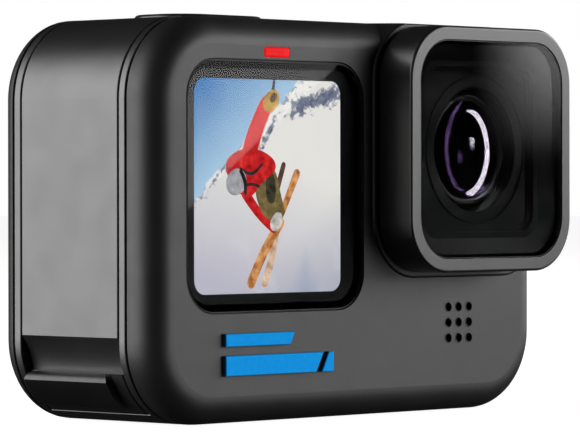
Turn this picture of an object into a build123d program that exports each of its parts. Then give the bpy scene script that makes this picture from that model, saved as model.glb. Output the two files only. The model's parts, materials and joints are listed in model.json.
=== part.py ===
"""Waterproof action camera with a square lens cover, two screens, a side door and folding mount fingers.

Frame: millimetres, +Z up, origin under the middle of the camera on the surface it stands on.
The lens and the front screen face -Y, and the battery door is on the -X side.
"""

from build123d import *

import math
import os

# --- Overall size ---------------------------------------------------------------------------
WIDTH = 71.8  # X
HEIGHT = 50.2  # Z, to the top of the casing
DEPTH = 33.6  # Y, from the lens cover's front to the rear screen
CORNER_R = 10.2  # casing corners, seen from the front
COVER_FRONT_Y = -DEPTH / 2
REAR_Y = DEPTH / 2
FRONT_Y = -10.8  # flat front face of the casing
SIDE_X = WIDTH / 2
FRONT_EDGE_R = 3.5
REAR_EDGE_R = 2.8
WALL = 1.7
SEAM_GAP = 0.12  # half of the shadow gap between two casings
SEAM_EDGE_R = 0.18  # the casings' and the door's edges along the seams

# --- Seams between the casings --------------------------------------------------------------
FRONT_SEAM_Y = -5.93
REAR_SEAM_Y = 14.11
RAIL_FRONT_Y = -4.69  # edge of the rail in front of the door
RAIL_REAR_Y = 12.79  # edge of the rail behind the door
DOOR_GAP = 0.15

# --- Front screen ---------------------------------------------------------------------------
SCREEN_X, SCREEN_Z = -14.41, 29.27
SCREEN_W, SCREEN_H, SCREEN_R = 31.65, 31.05, 4.6
SCREEN_GLASS_T = 1.0

# --- Lens and lens cover --------------------------------------------------------------------
LENS_X, LENS_Z = 19.75, 34.0
COVER_SIDE, COVER_R = 31.64, 7.0
COVER_OPENING, COVER_OPENING_R = 28.17, 5.4
COVER_BACK_Y = -11.35
COVER_GLASS_BACK_Y = -15.62
NECK_Y = -11.2
NECK_MARGIN = 0.6  # the neck stands this much outside the cover
NECK_TAPER = 20
NECK_EDGE_R = 0.3
NECK_FOOT_Y = -7.4
WELL_HALF_FRONT, WELL_HALF_A, WELL_HALF_B = 13.5, 11.47, 10.15
WELL_FRONT_Y, WELL_A_Y, WELL_B_Y, WELL_FLOOR_Y = -15.5, -14.28, -13.72, -13.34
BAFFLE_BACK_Y = -12.95
BAFFLE_HOLE_R, BAFFLE_RING_R = 8.04, 9.83
BARREL_R, BARREL_FRONT_Y, BARREL_BACK_Y = 7.09, -12.13, 3.5
ELEMENT_R, ELEMENT_RISE = 6.4, 0.65
MOUNT_RING_R, MOUNT_RING_IN_R, MOUNT_RING_FRONT_Y = 11.0, 8.2, -12.75
COVER_SOCKET_R = 12.4

# --- Side door, its hinge and its latch -----------------------------------------------------
HINGE_ANGLE = 84  # where on the corner's arc the door ends, in degrees up from the side
KNUCKLE_R, HINGE_BAR_R, KNUCKLE_BORE_R = 1.7, 0.9, 0.95
LUG_R = 2.3
HINGE_ROOM = 0.35  # between the knuckle and the casing above it, so that the door can stand up
DOOR_T = 1.6
LINER_X = -33.1  # flat inner face of the door
RECESS_TOP_Z, LATCH_TOP_Z = 10.84, 6.42
RECESS_FLOOR_X = -33.95
FOOT_END_X = -30.75  # where the door meets the underside
LATCH_Y = (-2.4, 12.3)
LATCH_TRAVEL = 1.2
TONGUE_Y = (-1.8, 9.9)
TONGUE_Z = (4.05, 5.25)
TONGUE_END_X = -32.0

# --- Buttons --------------------------------------------------------------------------------
SHUTTER_X, SHUTTER_Y = -14.41, 3.0
SHUTTER_W, SHUTTER_D, SHUTTER_R = 17.0, 11.0, 4.5
SHUTTER_TOP_Z = 50.8
MODE_Y, MODE_Z, MODE_W, MODE_H = 4.1, 27.0, 7.0, 14.0

# --- Folding fingers ------------------------------------------------------------------------
FINGER_T, FINGER_W, FINGER_BORE_R = 2.9, 14.6, 2.6
FINGER_Y = 4.09
FINGER_PIVOT_X, FINGER_PIVOT_Z = 3.05, 1.65
FINGER_REACH = 11.15  # pivot to thumbscrew hole
TRAY_HALF_X, TRAY_HALF_Y, TRAY_TOP_Z = 24.4, 8.6, 4.6
POCKET_TOP_Z = 3.35

# --- Battery and boards ---------------------------------------------------------------------
BATTERY = (-31.7, 8.6, -2.7, 9.9, 7.6, 39.2)  # x0, x1, y0, y1, z0, z1
BAY_GAP, BAY_WALL = 0.3, 0.35
BAY_FACE_X = (-32.0, -30.9)  # the wall that the door's seal closes on
BAY_FACE_Y, BAY_FACE_Z = (-3.7, 12.6), (5.9, 44.6)
SEAL_Y, SEAL_Z, SEAL_W = (-3.6, 12.4), (6.2, 44.2), 0.6
CONTACT_LENGTH = 0.88
CARD_Y, CARD_T = 11.3, 0.7
CARD_X, CARD_Z = (-31.6, -16.6), (16.0, 27.0)
USB_Y, USB_Z = 4.0, 41.65


# --- Drawing helpers ------------------------------------------------------------------------
def along_x(sketch, x0, x1, **kw):
    """Extrudes a sketch of (y, z) from x0 to x1."""
    return extrude(Plane.YZ.offset(x0) * sketch, amount=x1 - x0, **kw)


def along_y(sketch, y0, y1, **kw):
    """Extrudes a sketch of (x, z) from y1 forward to y0, so a taper opens or closes forward."""
    return extrude(Plane.XZ.offset(-y1) * sketch, amount=y1 - y0, **kw)


def along_z(sketch, z0, z1, **kw):
    """Extrudes a sketch of (x, y) from z0 up to z1."""
    return extrude(Plane.XY.offset(z0) * sketch, amount=z1 - z0, **kw)


def block(x0, x1, y0, y1, z0, z1):
    """A box between two corners."""
    centre = Pos((x0 + x1) / 2, (y0 + y1) / 2, (z0 + z1) / 2)
    return centre * Box(x1 - x0, y1 - y0, z1 - z0)


def soft_block(x0, x1, y0, y1, z0, z1, radius):
    """A box with every edge rounded."""
    body = block(x0, x1, y0, y1, z0, z1)
    return fillet(body.edges(), radius)


def outline(inset=0.0):
    """The casing's outline seen from the front, drawn inset by that much."""
    return Pos(0, HEIGHT / 2) * RectangleRounded(
        WIDTH - 2 * inset, HEIGHT - 2 * inset, CORNER_R - inset
    )


def lens_square(half, radius):
    """A rounded square round the lens axis, in (x, z)."""
    return Pos(LENS_X, LENS_Z) * RectangleRounded(2 * half, 2 * half, radius)


def lens_disc(radius):
    return Pos(LENS_X, LENS_Z) * Circle(radius)


def lens_tube(outer, inner, y0, y1):
    """A tube round the lens axis."""
    return along_y(lens_disc(outer) - lens_disc(inner), y0, y1)


def edges_at_y(shape, y):
    """The edges that lie in the plane across Y at y."""
    return shape.edges().filter_by_position(Axis.Y, y - 1e-3, y + 1e-3)


def edges_at_z(shape, z):
    return shape.edges().filter_by_position(Axis.Z, z - 1e-3, z + 1e-3)


def edges_at_x(shape, x):
    return shape.edges().filter_by_position(Axis.X, x - 1e-3, x + 1e-3)


def casing_body():
    """The whole casing as one solid block with its rounded front and rear edges."""
    body = along_y(outline(), FRONT_Y, REAR_Y)
    body = fillet(edges_at_y(body, FRONT_Y), FRONT_EDGE_R)
    return fillet(edges_at_y(body, REAR_Y), REAR_EDGE_R)


CASING = casing_body()


def casing_slice(y0, y1):
    """The part of the casing block between two planes across Y."""
    return CASING & block(-SIDE_X, SIDE_X, y0, y1, 0, HEIGHT)


def on_skin(point):
    """Whether a point lies on the casing's flat sides or its corners' arcs."""
    dx = max(abs(point.X) - (SIDE_X - CORNER_R), 0)
    dz = max(abs(point.Z - HEIGHT / 2) - (HEIGHT / 2 - CORNER_R), 0)
    return abs(math.hypot(dx, dz) - CORNER_R) < 0.02


def round_seam(shape, *places):
    """Rounds the outer edges that run along a seam, at each of those places along Y."""
    for y in places:
        edges = [e for e in shape.edges() if abs((e @ 0.5).Y - y) < 1e-3 and on_skin(e @ 0.5)]
        shape = fillet(edges, SEAM_EDGE_R)
    return shape


# Hinge axis: a knuckle's radius below the skin, where the door ends on the corner's arc.
_corner = (-SIDE_X + CORNER_R, HEIGHT - CORNER_R)
_up = math.radians(HINGE_ANGLE)
HINGE_X = _corner[0] - (CORNER_R - KNUCKLE_R) * math.cos(_up)
HINGE_Z = _corner[1] + (CORNER_R - KNUCKLE_R) * math.sin(_up)


def hinge_rod(radius, y0, y1):
    return along_y(Pos(HINGE_X, HINGE_Z) * Circle(radius), y0, y1)


# --- Casings --------------------------------------------------------------------------------
TONGUE_IN, TONGUE_LENGTH = 0.95, 0.8  # tongue and rebate that close the seams
MIC_X, MIC_Z, MIC_PITCH, MIC_HOLE_R = 19.83, 11.52, 2.02, 0.58
TALLY_X, TALLY_Z, TALLY_W, TALLY_H = -14.41, 45.88, 4.7, 1.34


def mic_hole_places():
    return [
        (MIC_X + i * MIC_PITCH, MIC_Z + j * MIC_PITCH)
        for i in (-1, 0, 1)
        for j in (-1, 0, 1)
    ]


def front_cover():
    shell = round_seam(casing_slice(FRONT_Y, FRONT_SEAM_Y - SEAM_GAP), FRONT_SEAM_Y - SEAM_GAP)
    shell -= along_y(outline(WALL), FRONT_Y + WALL, FRONT_SEAM_Y)
    # The neck under the lens cover, with sloping sides, cut off flush at the top and the side.
    top_half = COVER_SIDE / 2 + NECK_MARGIN
    foot_half = top_half + (NECK_FOOT_Y - NECK_Y) * math.tan(math.radians(NECK_TAPER))
    foot = lens_square(foot_half, COVER_R + NECK_MARGIN + foot_half - top_half)
    neck = along_y(foot, NECK_Y, NECK_FOOT_Y, taper=NECK_TAPER)
    neck = neck & along_y(outline(), NECK_Y, NECK_FOOT_Y)
    neck = fillet(edges_at_y(neck, NECK_Y), NECK_EDGE_R)
    neck -= along_y(lens_square(top_half - 2.2, COVER_R - 1.6), FRONT_Y + WALL, NECK_FOOT_Y)
    shell += neck
    shell -= along_y(lens_disc(MOUNT_RING_R + 0.05), NECK_Y, NECK_FOOT_Y)
    # Screen opening with a ledge that the glass is bonded to.
    opening = Pos(SCREEN_X, SCREEN_Z) * RectangleRounded(
        SCREEN_W + 0.3, SCREEN_H + 0.3, SCREEN_R + 0.15
    )
    shell -= along_y(opening, FRONT_Y, FRONT_Y + SCREEN_GLASS_T + 0.15)
    window = Pos(SCREEN_X, SCREEN_Z) * RectangleRounded(SCREEN_W - 2.2, SCREEN_H - 2.2, 3.5)
    shell -= along_y(window, FRONT_Y, FRONT_Y + 2 * WALL)
    for x, z in mic_hole_places():
        shell -= along_y(Pos(x, z) * Circle(MIC_HOLE_R), FRONT_Y, FRONT_Y + 2 * WALL)
    tally = Pos(TALLY_X, TALLY_Z) * RectangleRounded(TALLY_W, TALLY_H, 0.45)
    shell -= along_y(tally, FRONT_Y, FRONT_Y + 2 * WALL)
    # Rebate for the middle frame's tongue, and the screw bosses.
    shell -= along_y(outline(TONGUE_IN), FRONT_SEAM_Y - TONGUE_LENGTH - 0.1, FRONT_SEAM_Y)
    for x, z in SCREW_PLACES:
        boss = along_y(
            Pos(x, z) * (Circle(BOSS_R) - Circle(SCREW_R)), FRONT_Y + WALL, -7.0
        )
        shell += boss & along_y(outline(WALL / 2), FRONT_Y, FRONT_SEAM_Y)
    return shell


SCREW_PLACES = [(-29.6, 6.2), (29.6, 6.2), (-30.2, 44.6), (30.4, 44.0)]
SCREW_R, SCREW_HEAD_R, BOSS_R = 0.8, 1.5, 2.1


def mid_frame():
    ends = (FRONT_SEAM_Y + SEAM_GAP, REAR_SEAM_Y - SEAM_GAP)
    frame = round_seam(casing_slice(*ends), *ends)
    frame -= along_y(outline(2.0), FRONT_SEAM_Y, REAR_SEAM_Y)
    tongue = outline(TONGUE_IN + 0.06) - outline(2.0)
    frame += along_y(tongue, FRONT_SEAM_Y - TONGUE_LENGTH, FRONT_SEAM_Y + 1)
    # The open side, between the two rails, from the hinge round to the underside.
    frame -= block(-SIDE_X - 1, FOOT_END_X + 0.15, RAIL_FRONT_Y, RAIL_REAR_Y, -1, HINGE_Z)
    frame -= block(
        -SIDE_X - 1,
        HINGE_X + KNUCKLE_R + HINGE_ROOM,
        RAIL_FRONT_Y,
        RAIL_REAR_Y,
        HINGE_Z - 6,
        HEIGHT + 1,
    )
    frame = round_seam(frame, RAIL_FRONT_Y, RAIL_REAR_Y)
    # Keeper that the latch's tongue stops behind.
    keeper = Polygon((-30.6, 2.6), (-30.6, 5.2), (-31.85, 5.2), (-31.85, 4.6), align=None)
    frame += along_y(keeper, TONGUE_Y[0], TONGUE_Y[1])
    frame += block(-30.65, -29.6, TONGUE_Y[0], TONGUE_Y[1], 1.6, 5.2)
    # The rails carry the hinge bar.
    lugs = hinge_rod(LUG_R, FRONT_SEAM_Y + SEAM_GAP, RAIL_FRONT_Y)
    lugs += hinge_rod(LUG_R, RAIL_REAR_Y, REAR_SEAM_Y - SEAM_GAP)
    frame += lugs & along_y(outline(), FRONT_SEAM_Y, REAR_SEAM_Y)
    frame -= hinge_rod(HINGE_BAR_R, FRONT_SEAM_Y + 0.5, REAR_SEAM_Y - 0.5)
    # Underside opening for the finger tray, top opening for the shutter button.
    frame -= along_z(
        Pos(0, FINGER_Y) * RectangleRounded(2 * TRAY_HALF_X, 2 * TRAY_HALF_Y, 2.5), -1, 5
    )
    shutter = Pos(SHUTTER_X, SHUTTER_Y) * RectangleRounded(
        SHUTTER_W + 0.3, SHUTTER_D + 0.3, SHUTTER_R + 0.15
    )
    frame -= along_z(shutter, HEIGHT - 5, HEIGHT + 1)
    # Dished seat and hole for the mode button.
    mode_seat = Pos(MODE_Y, MODE_Z) * RectangleRounded(MODE_W + 3, MODE_H + 3, MODE_W / 2 + 1.4)
    frame -= along_x(mode_seat, SIDE_X - 0.5, SIDE_X + 1)
    mode_hole = Pos(MODE_Y, MODE_Z) * RectangleRounded(MODE_W + 0.3, MODE_H + 0.3, MODE_W / 2)
    frame -= along_x(mode_hole, SIDE_X - 5, SIDE_X + 1)
    for i in range(SPEAKER_SLOTS):
        slot = Pos(MODE_Y, SPEAKER_Z + (i - 1) * 2.2) * SlotOverall(7.0, 1.0)
        frame -= along_x(slot, SIDE_X - 5, SIDE_X + 1)
    frame -= along_z(Pos(TOP_MIC_X, MODE_Y) * Circle(0.6), HEIGHT - 5, HEIGHT + 1)
    for x, z in SCREW_PLACES:
        lug = Pos(x, z) * Circle(BOSS_R + 1.4)
        lug = along_y(lug, FRONT_SEAM_Y + SEAM_GAP, RAIL_FRONT_Y)
        frame += lug & along_y(outline(1.0), FRONT_SEAM_Y, REAR_SEAM_Y)
        frame -= along_y(Pos(x, z) * Circle(SCREW_R), FRONT_SEAM_Y, RAIL_FRONT_Y)
    return frame


SPEAKER_SLOTS, SPEAKER_Z = 3, 13.4
TOP_MIC_X = 6.0
REAR_GLASS_W, REAR_GLASS_H, REAR_GLASS_R = 61.0, 40.6, 5.5
REAR_GLASS_Z = 25.1
STATUS_X, STATUS_Z = -32.3, 25.1


def rear_cover():
    shell = round_seam(casing_slice(REAR_SEAM_Y + SEAM_GAP, REAR_Y), REAR_SEAM_Y + SEAM_GAP)
    shell -= along_y(outline(3.2), REAR_SEAM_Y, REAR_Y - 1.35)
    tongue = outline(2.06) - outline(3.2)
    shell += along_y(tongue, REAR_SEAM_Y - TONGUE_LENGTH, REAR_SEAM_Y + 0.5)
    shell -= hinge_rod(LUG_R + 0.1, REAR_SEAM_Y - 1, REAR_SEAM_Y)
    glass_seat = Pos(0, REAR_GLASS_Z) * RectangleRounded(
        REAR_GLASS_W + 0.3, REAR_GLASS_H + 0.3, REAR_GLASS_R + 0.15
    )
    shell -= along_y(glass_seat, REAR_Y - 1.1, REAR_Y)
    window = Pos(0, REAR_GLASS_Z) * RectangleRounded(REAR_GLASS_W - 4, REAR_GLASS_H - 4, 3.5)
    shell -= along_y(window, REAR_SEAM_Y, REAR_Y)
    shell -= along_y(Pos(STATUS_X, STATUS_Z) * SlotOverall(2.6, 1.0, rotation=90), 10, REAR_Y)
    return shell


# --- Screens --------------------------------------------------------------------------------
def front_screen_glass():
    pane = Pos(SCREEN_X, SCREEN_Z) * RectangleRounded(SCREEN_W, SCREEN_H, SCREEN_R)
    glass = along_y(pane, FRONT_Y + 0.05, FRONT_Y + SCREEN_GLASS_T + 0.05)
    return chamfer(edges_at_y(glass, FRONT_Y + 0.05), 0.18)


def front_screen_gasket():
    ring = Pos(SCREEN_X, SCREEN_Z) * RectangleRounded(SCREEN_W - 0.3, SCREEN_H - 0.3, 4.4)
    ring -= Pos(SCREEN_X, SCREEN_Z) * RectangleRounded(SCREEN_W - 2.0, SCREEN_H - 2.0, 3.6)
    return along_y(ring, FRONT_Y + SCREEN_GLASS_T + 0.05, FRONT_Y + SCREEN_GLASS_T + 0.15)


def front_display():
    """Liquid crystal module behind the front glass, with its metal back frame."""
    y0 = FRONT_Y + SCREEN_GLASS_T + 0.2
    panel = block(-28.95, 0.1, y0, y0 + 1.4, 15.0, 43.55)
    panel = fillet(panel.edges().filter_by(Axis.Y), 3.6)
    connector = block(-19.0, -10.0, y0 + 1.4, y0 + 2.0, 16.5, 19.0)
    return panel + connector


def rear_touch_glass():
    pane = Pos(0, REAR_GLASS_Z) * RectangleRounded(REAR_GLASS_W, REAR_GLASS_H, REAR_GLASS_R)
    glass = along_y(pane, REAR_Y - 1.0, REAR_Y)
    return chamfer(edges_at_y(glass, REAR_Y), 0.2)


def rear_display():
    panel = block(-27.8, 27.8, REAR_Y - 2.9, REAR_Y - 1.05, 7.5, 42.6)
    return fillet(panel.edges().filter_by(Axis.Y), 1.2)


def tally_light():
    lens = Pos(TALLY_X, TALLY_Z) * RectangleRounded(TALLY_W, TALLY_H, 0.45)
    flange = Pos(TALLY_X, TALLY_Z) * RectangleRounded(TALLY_W + 1.4, TALLY_H + 0.6, 0.6)
    light = along_y(lens, FRONT_Y - 0.1, FRONT_Y + WALL)
    light = fillet(edges_at_y(light, FRONT_Y - 0.1), 0.3)
    return light + along_y(flange, FRONT_Y + WALL, FRONT_Y + WALL + 0.6)


def status_light():
    lens = Pos(STATUS_X, STATUS_Z) * SlotOverall(2.56, 0.96, rotation=90)
    return along_y(lens, REAR_Y - 1.6, REAR_Y - 0.05)


def badge():
    """Plain raised accent: a long bar under a short stroke, with slanted ends."""
    lower = Polygon((-24.1, 6.0), (-7.9, 6.0), (-6.6, 8.5), (-24.1, 8.5), align=None)
    tail = Polygon((-6.9, 6.0), (-4.7, 6.0), (-4.7, 8.5), (-5.6, 8.5), align=None)
    upper = Polygon((-24.1, 9.6), (-12.6, 9.6), (-11.8, 11.2), (-24.1, 11.2), align=None)
    bars = [along_y(s, FRONT_Y - 0.6, FRONT_Y) for s in (lower, tail, upper)]
    return Compound(children=[chamfer(edges_at_y(b, FRONT_Y - 0.6), 0.08) for b in bars])


# --- Lens cover -----------------------------------------------------------------------------
def lens_cover_frame():
    frame = along_y(lens_square(COVER_SIDE / 2, COVER_R), COVER_FRONT_Y, COVER_BACK_Y)
    frame = fillet(edges_at_y(frame, COVER_FRONT_Y), 0.35)
    opening = lens_square(COVER_OPENING / 2, COVER_OPENING_R)
    frame -= along_y(opening, COVER_FRONT_Y, COVER_GLASS_BACK_Y)
    frame -= along_y(lens_square(14.75, 6.0), COVER_GLASS_BACK_Y, COVER_BACK_Y)
    return frame


def lens_cover_glass():
    pane = lens_square(COVER_OPENING / 2 - 0.06, COVER_OPENING_R - 0.06)
    glass = along_y(pane, COVER_FRONT_Y + 0.08, COVER_GLASS_BACK_Y)
    return chamfer(edges_at_y(glass, COVER_FRONT_Y + 0.08), 0.15)


def lens_cover_baffle():
    """Stepped black well behind the glass, with a round hole for the lens."""
    body = along_y(lens_square(14.7, 5.95), WELL_FRONT_Y, BAFFLE_BACK_Y)
    slope = math.degrees(
        math.atan((WELL_HALF_FRONT - WELL_HALF_A) / (WELL_A_Y - WELL_FRONT_Y))
    )
    well = along_y(lens_square(WELL_HALF_A, 2.9), WELL_FRONT_Y, WELL_A_Y, taper=-slope)
    body -= well
    body -= along_y(lens_square(WELL_HALF_B + 0.5, 2.4), WELL_A_Y - 0.1, WELL_B_Y)
    body -= along_y(lens_square(WELL_HALF_B, 2.0), WELL_B_Y - 0.1, WELL_FLOOR_Y)
    ring = lens_disc(BAFFLE_RING_R) - lens_disc(BAFFLE_RING_R - 0.35)
    body -= along_y(ring, WELL_FLOOR_Y - 0.05, WELL_FLOOR_Y + 0.18)
    body -= along_y(lens_disc(BAFFLE_HOLE_R), WELL_FRONT_Y, BAFFLE_BACK_Y)
    return body


def lens_cover_gasket():
    ring = lens_square(14.05, 5.35) - lens_square(13.55, 4.9)
    return along_y(ring, COVER_GLASS_BACK_Y, WELL_FRONT_Y)


def lens_cover_socket():
    """Rear plate of the cover, with the round socket that goes over the mount ring."""
    plate = along_y(lens_square(14.7, 5.95), BAFFLE_BACK_Y, COVER_BACK_Y)
    plate -= along_y(lens_disc(COVER_SOCKET_R), BAFFLE_BACK_Y, COVER_BACK_Y)
    for turn in range(4):
        around = Rot(0, 0, 90 * turn) * Pos(15.4, 15.4) * Circle(3.2)
        plate -= along_y(Pos(LENS_X, LENS_Z) * around, BAFFLE_BACK_Y + 0.7, COVER_BACK_Y)
    return plate


def lens_seal():
    """Rubber ring round the foot of the mount ring, turned with the cover."""
    ring = lens_tube(12.1, 11.25, -11.95, NECK_Y - 0.15)
    return fillet(edges_at_y(ring, -11.95), 0.3)


# --- Lens -----------------------------------------------------------------------------------
def mount_ring():
    """Ring on the casing that the cover turns on, with its four lugs."""
    ring = lens_tube(MOUNT_RING_R, MOUNT_RING_IN_R, MOUNT_RING_FRONT_Y, -8.2)
    ring = fillet(edges_at_y(ring, MOUNT_RING_FRONT_Y), 0.2)
    sector = Pos(0, MOUNT_RING_R) * Rectangle(5.0, 1.6)
    for turn in range(4):
        lug = along_y(
            Pos(LENS_X, LENS_Z) * Rot(0, 0, 45 + 90 * turn) * sector, -12.6, -12.1
        )
        ring += lug & along_y(lens_disc(MOUNT_RING_R + 0.7), -12.6, -12.1)
    flange = lens_tube(12.4, MOUNT_RING_IN_R, -8.9, -8.2)
    return ring + flange


def lens_barrel():
    """Stepped barrel that holds the glass, open from end to end."""
    barrel = lens_tube(BARREL_R, ELEMENT_R + 0.05, BARREL_FRONT_Y, -9.4)
    barrel = chamfer(
        edges_at_y(barrel, BARREL_FRONT_Y).sort_by(SortBy.LENGTH)[:1], 0.3
    )
    barrel += lens_tube(BARREL_R, 5.2, -9.4, -4.0)
    barrel += lens_tube(8.6, 4.4, -4.0, BARREL_BACK_Y)
    barrel += lens_tube(9.3, 5.0, 1.5, BARREL_BACK_Y)
    return barrel


def dome(radius, rise, y_rim, thickness):
    """A lens element with a domed front, its rim at y_rim and a flat back."""
    ball_r = (radius**2 + rise**2) / (2 * rise)
    centre_y = y_rim - rise + ball_r
    ball = Pos(LENS_X, centre_y, LENS_Z) * Sphere(ball_r)
    cap = ball & along_y(lens_disc(radius), y_rim - rise - 1, y_rim)
    return cap + along_y(lens_disc(radius), y_rim, y_rim + thickness)


def front_element():
    return dome(ELEMENT_R, ELEMENT_RISE, BARREL_FRONT_Y + 0.35, 1.5)


def middle_element():
    return dome(4.8, 1.1, -7.6, 1.2)


def rear_element():
    return dome(4.0, 0.8, -2.8, 1.6)


def lens_retainer():
    """Thin stop ring between the front and the middle element."""
    return lens_tube(ELEMENT_R, 5.0, -10.1, -9.45)


def image_sensor():
    chip = block(LENS_X - 6.2, LENS_X + 6.2, 4.0, 5.2, LENS_Z - 5.0, LENS_Z + 5.0)
    return fillet(chip.edges().filter_by(Axis.Y), 0.4)


def sensor_board():
    board = block(LENS_X - 9.4, LENS_X + 9.4, 5.2, 6.1, LENS_Z - 10.5, LENS_Z + 10.5)
    board = fillet(board.edges().filter_by(Axis.Y), 1.2)
    for dx, dz in ((-7.7, -8.7), (7.7, -8.7), (-7.7, 8.7), (7.7, 8.7)):
        board -= along_y(Pos(LENS_X + dx, LENS_Z + dz) * Circle(0.9), 5.0, 6.3)
    return board


# --- Side door ------------------------------------------------------------------------------
def on_corner(radius, angle, low=False):
    """A point on the left corner's arc, at that angle up (or, at the foot, down) from the side."""
    turn = math.radians(angle)
    z = CORNER_R - radius * math.sin(turn) if low else _corner[1] + radius * math.sin(turn)
    return (_corner[0] - radius * math.cos(turn), z)


FOOT_ANGLE = math.degrees(math.acos((_corner[0] - FOOT_END_X) / CORNER_R))
LIP_ANGLE = math.degrees(math.asin((CORNER_R - LATCH_TOP_Z) / CORNER_R))


def door_profile():
    """The door's section in (x, z): skin over the corner's arc, sloping thumb recess, curved foot."""
    inner_r = CORNER_R - DOOR_T
    inner_x = -SIDE_X + DOOR_T
    straight_z = HEIGHT - CORNER_R
    recess_low = (RECESS_FLOOR_X, LATCH_TOP_Z)
    lip_end = on_corner(CORNER_R, LIP_ANGLE, low=True)
    foot_end = on_corner(CORNER_R, FOOT_ANGLE, low=True)
    path = [
        ThreePointArc(
            on_corner(CORNER_R, HINGE_ANGLE),
            on_corner(CORNER_R, HINGE_ANGLE / 2),
            (-SIDE_X, straight_z),
        ),
        Line((-SIDE_X, straight_z), (-SIDE_X, RECESS_TOP_Z)),
        ThreePointArc((-SIDE_X, RECESS_TOP_Z), (RECESS_FLOOR_X - 0.65, 8.75), recess_low),
        Line(recess_low, lip_end),
        ThreePointArc(
            lip_end, on_corner(CORNER_R, (LIP_ANGLE + FOOT_ANGLE) / 2, low=True), foot_end
        ),
        Line(foot_end, (FOOT_END_X, 2.4)),
        ThreePointArc((FOOT_END_X, 2.4), (-32.2, 4.1), (LINER_X, 6.0)),
        Line((LINER_X, 6.0), (LINER_X, RECESS_TOP_Z + 1.2)),
        Line((LINER_X, RECESS_TOP_Z + 1.2), (inner_x, RECESS_TOP_Z + 1.2)),
        Line((inner_x, RECESS_TOP_Z + 1.2), (inner_x, straight_z)),
        ThreePointArc(
            (inner_x, straight_z),
            on_corner(inner_r, HINGE_ANGLE / 2),
            on_corner(inner_r, HINGE_ANGLE),
        ),
        Line(on_corner(inner_r, HINGE_ANGLE), on_corner(CORNER_R, HINGE_ANGLE)),
    ]
    return make_face(Wire(path))


DOOR_Y = (RAIL_FRONT_Y + DOOR_GAP, RAIL_REAR_Y - DOOR_GAP)


def latch_bed():
    """The space that the latch's lip lies and slides in, in (x, z)."""
    path = [
        Line((-40, LATCH_TOP_Z + 0.01), (-34.3, LATCH_TOP_Z + 0.01)),
        Line((-34.3, LATCH_TOP_Z + 0.01), (-34.3, 5.6)),
        ThreePointArc((-34.3, 5.6), (-33.5, 3.4), (-31.9, 1.5)),
        Line((-31.9, 1.5), (-31.9, -1)),
        Line((-31.9, -1), (-40, -1)),
        Line((-40, -1), (-40, LATCH_TOP_Z + 0.01)),
    ]
    return make_face(Wire(path))


def side_door():
    door = round_seam(along_y(door_profile(), *DOOR_Y), *DOOR_Y)
    door += hinge_rod(KNUCKLE_R, *DOOR_Y)
    door -= hinge_rod(KNUCKLE_BORE_R, *DOOR_Y)
    door -= along_y(latch_bed(), LATCH_Y[0] - 0.15, DOOR_Y[1] + 1)
    # Slot for the latch's tongue, longer than the tongue by the latch's travel.
    door -= block(
        -35,
        -30,
        TONGUE_Y[0] - 0.2,
        TONGUE_Y[1] + 0.2,
        TONGUE_Z[0] - LATCH_TRAVEL - 0.2,
        TONGUE_Z[1] + 0.2,
    )
    return door


def door_liner():
    """Moulding that fills the door's skin out to one flat inner face."""
    liner = block(
        -SIDE_X + DOOR_T, LINER_X, SEAL_Y[0], SEAL_Y[1], RECESS_TOP_Z + 1.2, SEAL_Z[1] + 0.1
    )
    liner &= along_y(outline(DOOR_T), *DOOR_Y)
    for i in range(3):
        window = Pos(4.0, 18.0 + 10.0 * i) * RectangleRounded(11.0, 7.0, 1.0)
        liner -= along_x(window, LINER_X - 0.5, LINER_X)
    return liner


def door_seal():
    """Rubber frame on the door's inner face that closes on the battery bay."""
    width, height = SEAL_Y[1] - SEAL_Y[0], SEAL_Z[1] - SEAL_Z[0]
    ring = RectangleRounded(width, height, 2.4)
    ring -= RectangleRounded(width - 2 * SEAL_W, height - 2 * SEAL_W, 1.6)
    ring = Pos(sum(SEAL_Y) / 2, sum(SEAL_Z) / 2) * ring
    seal = along_x(ring, LINER_X, BAY_FACE_X[0] - 0.12)
    return fillet(edges_at_x(seal, BAY_FACE_X[0] - 0.12), 0.25)


def door_latch():
    """Thumb lip that slides down on the door, with its tongue through the slot."""
    round_r = 1.1
    top_out, top_in = (-SIDE_X + 0.06, LATCH_TOP_Z - round_r), (-34.42, LATCH_TOP_Z)
    turn = math.radians(45)
    nose = (top_out[0] + round_r * (1 - math.cos(turn)), top_out[1] + round_r * math.sin(turn))
    path = [
        ThreePointArc(top_out, nose, (top_out[0] + round_r, LATCH_TOP_Z)),
        Line((top_out[0] + round_r, LATCH_TOP_Z), top_in),
        Line(top_in, (-34.42, 5.5)),
        ThreePointArc((-34.42, 5.5), (-33.85, 3.85), (-32.95, 2.6)),
        Line((-32.95, 2.6), (-33.3, 2.1)),
        ThreePointArc((-33.3, 2.1), (-34.95, 3.95), top_out),
    ]
    lip = along_y(make_face(Wire(path)), *LATCH_Y)
    side_view = RectangleRounded(LATCH_Y[1] - LATCH_Y[0], 12, 1.3)
    side_view = Pos(sum(LATCH_Y) / 2, LATCH_TOP_Z - 6) * side_view
    lip &= along_x(side_view, -SIDE_X - 1, -30)
    tongue = block(-34.5, TONGUE_END_X, *TONGUE_Y, *TONGUE_Z)
    return lip + tongue


def latch_spring():
    """Bowed leaf in the slot under the tongue, which pushes the latch up."""
    low, high, t = TONGUE_Z[0] - LATCH_TRAVEL - 0.18, TONGUE_Z[0] - 0.04, 0.12
    y0, ym, y1 = 0.6, sum(TONGUE_Y) / 2, sum(TONGUE_Y) - 0.6
    path = [
        ThreePointArc((y0, low + t), (ym, high), (y1, low + t)),
        Line((y1, low + t), (y1, low)),
        ThreePointArc((y1, low), (ym, high - t), (y0, low)),
        Line((y0, low), (y0, low + t)),
    ]
    return along_x(make_face(Wire(path)), -32.75, -32.35)


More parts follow.
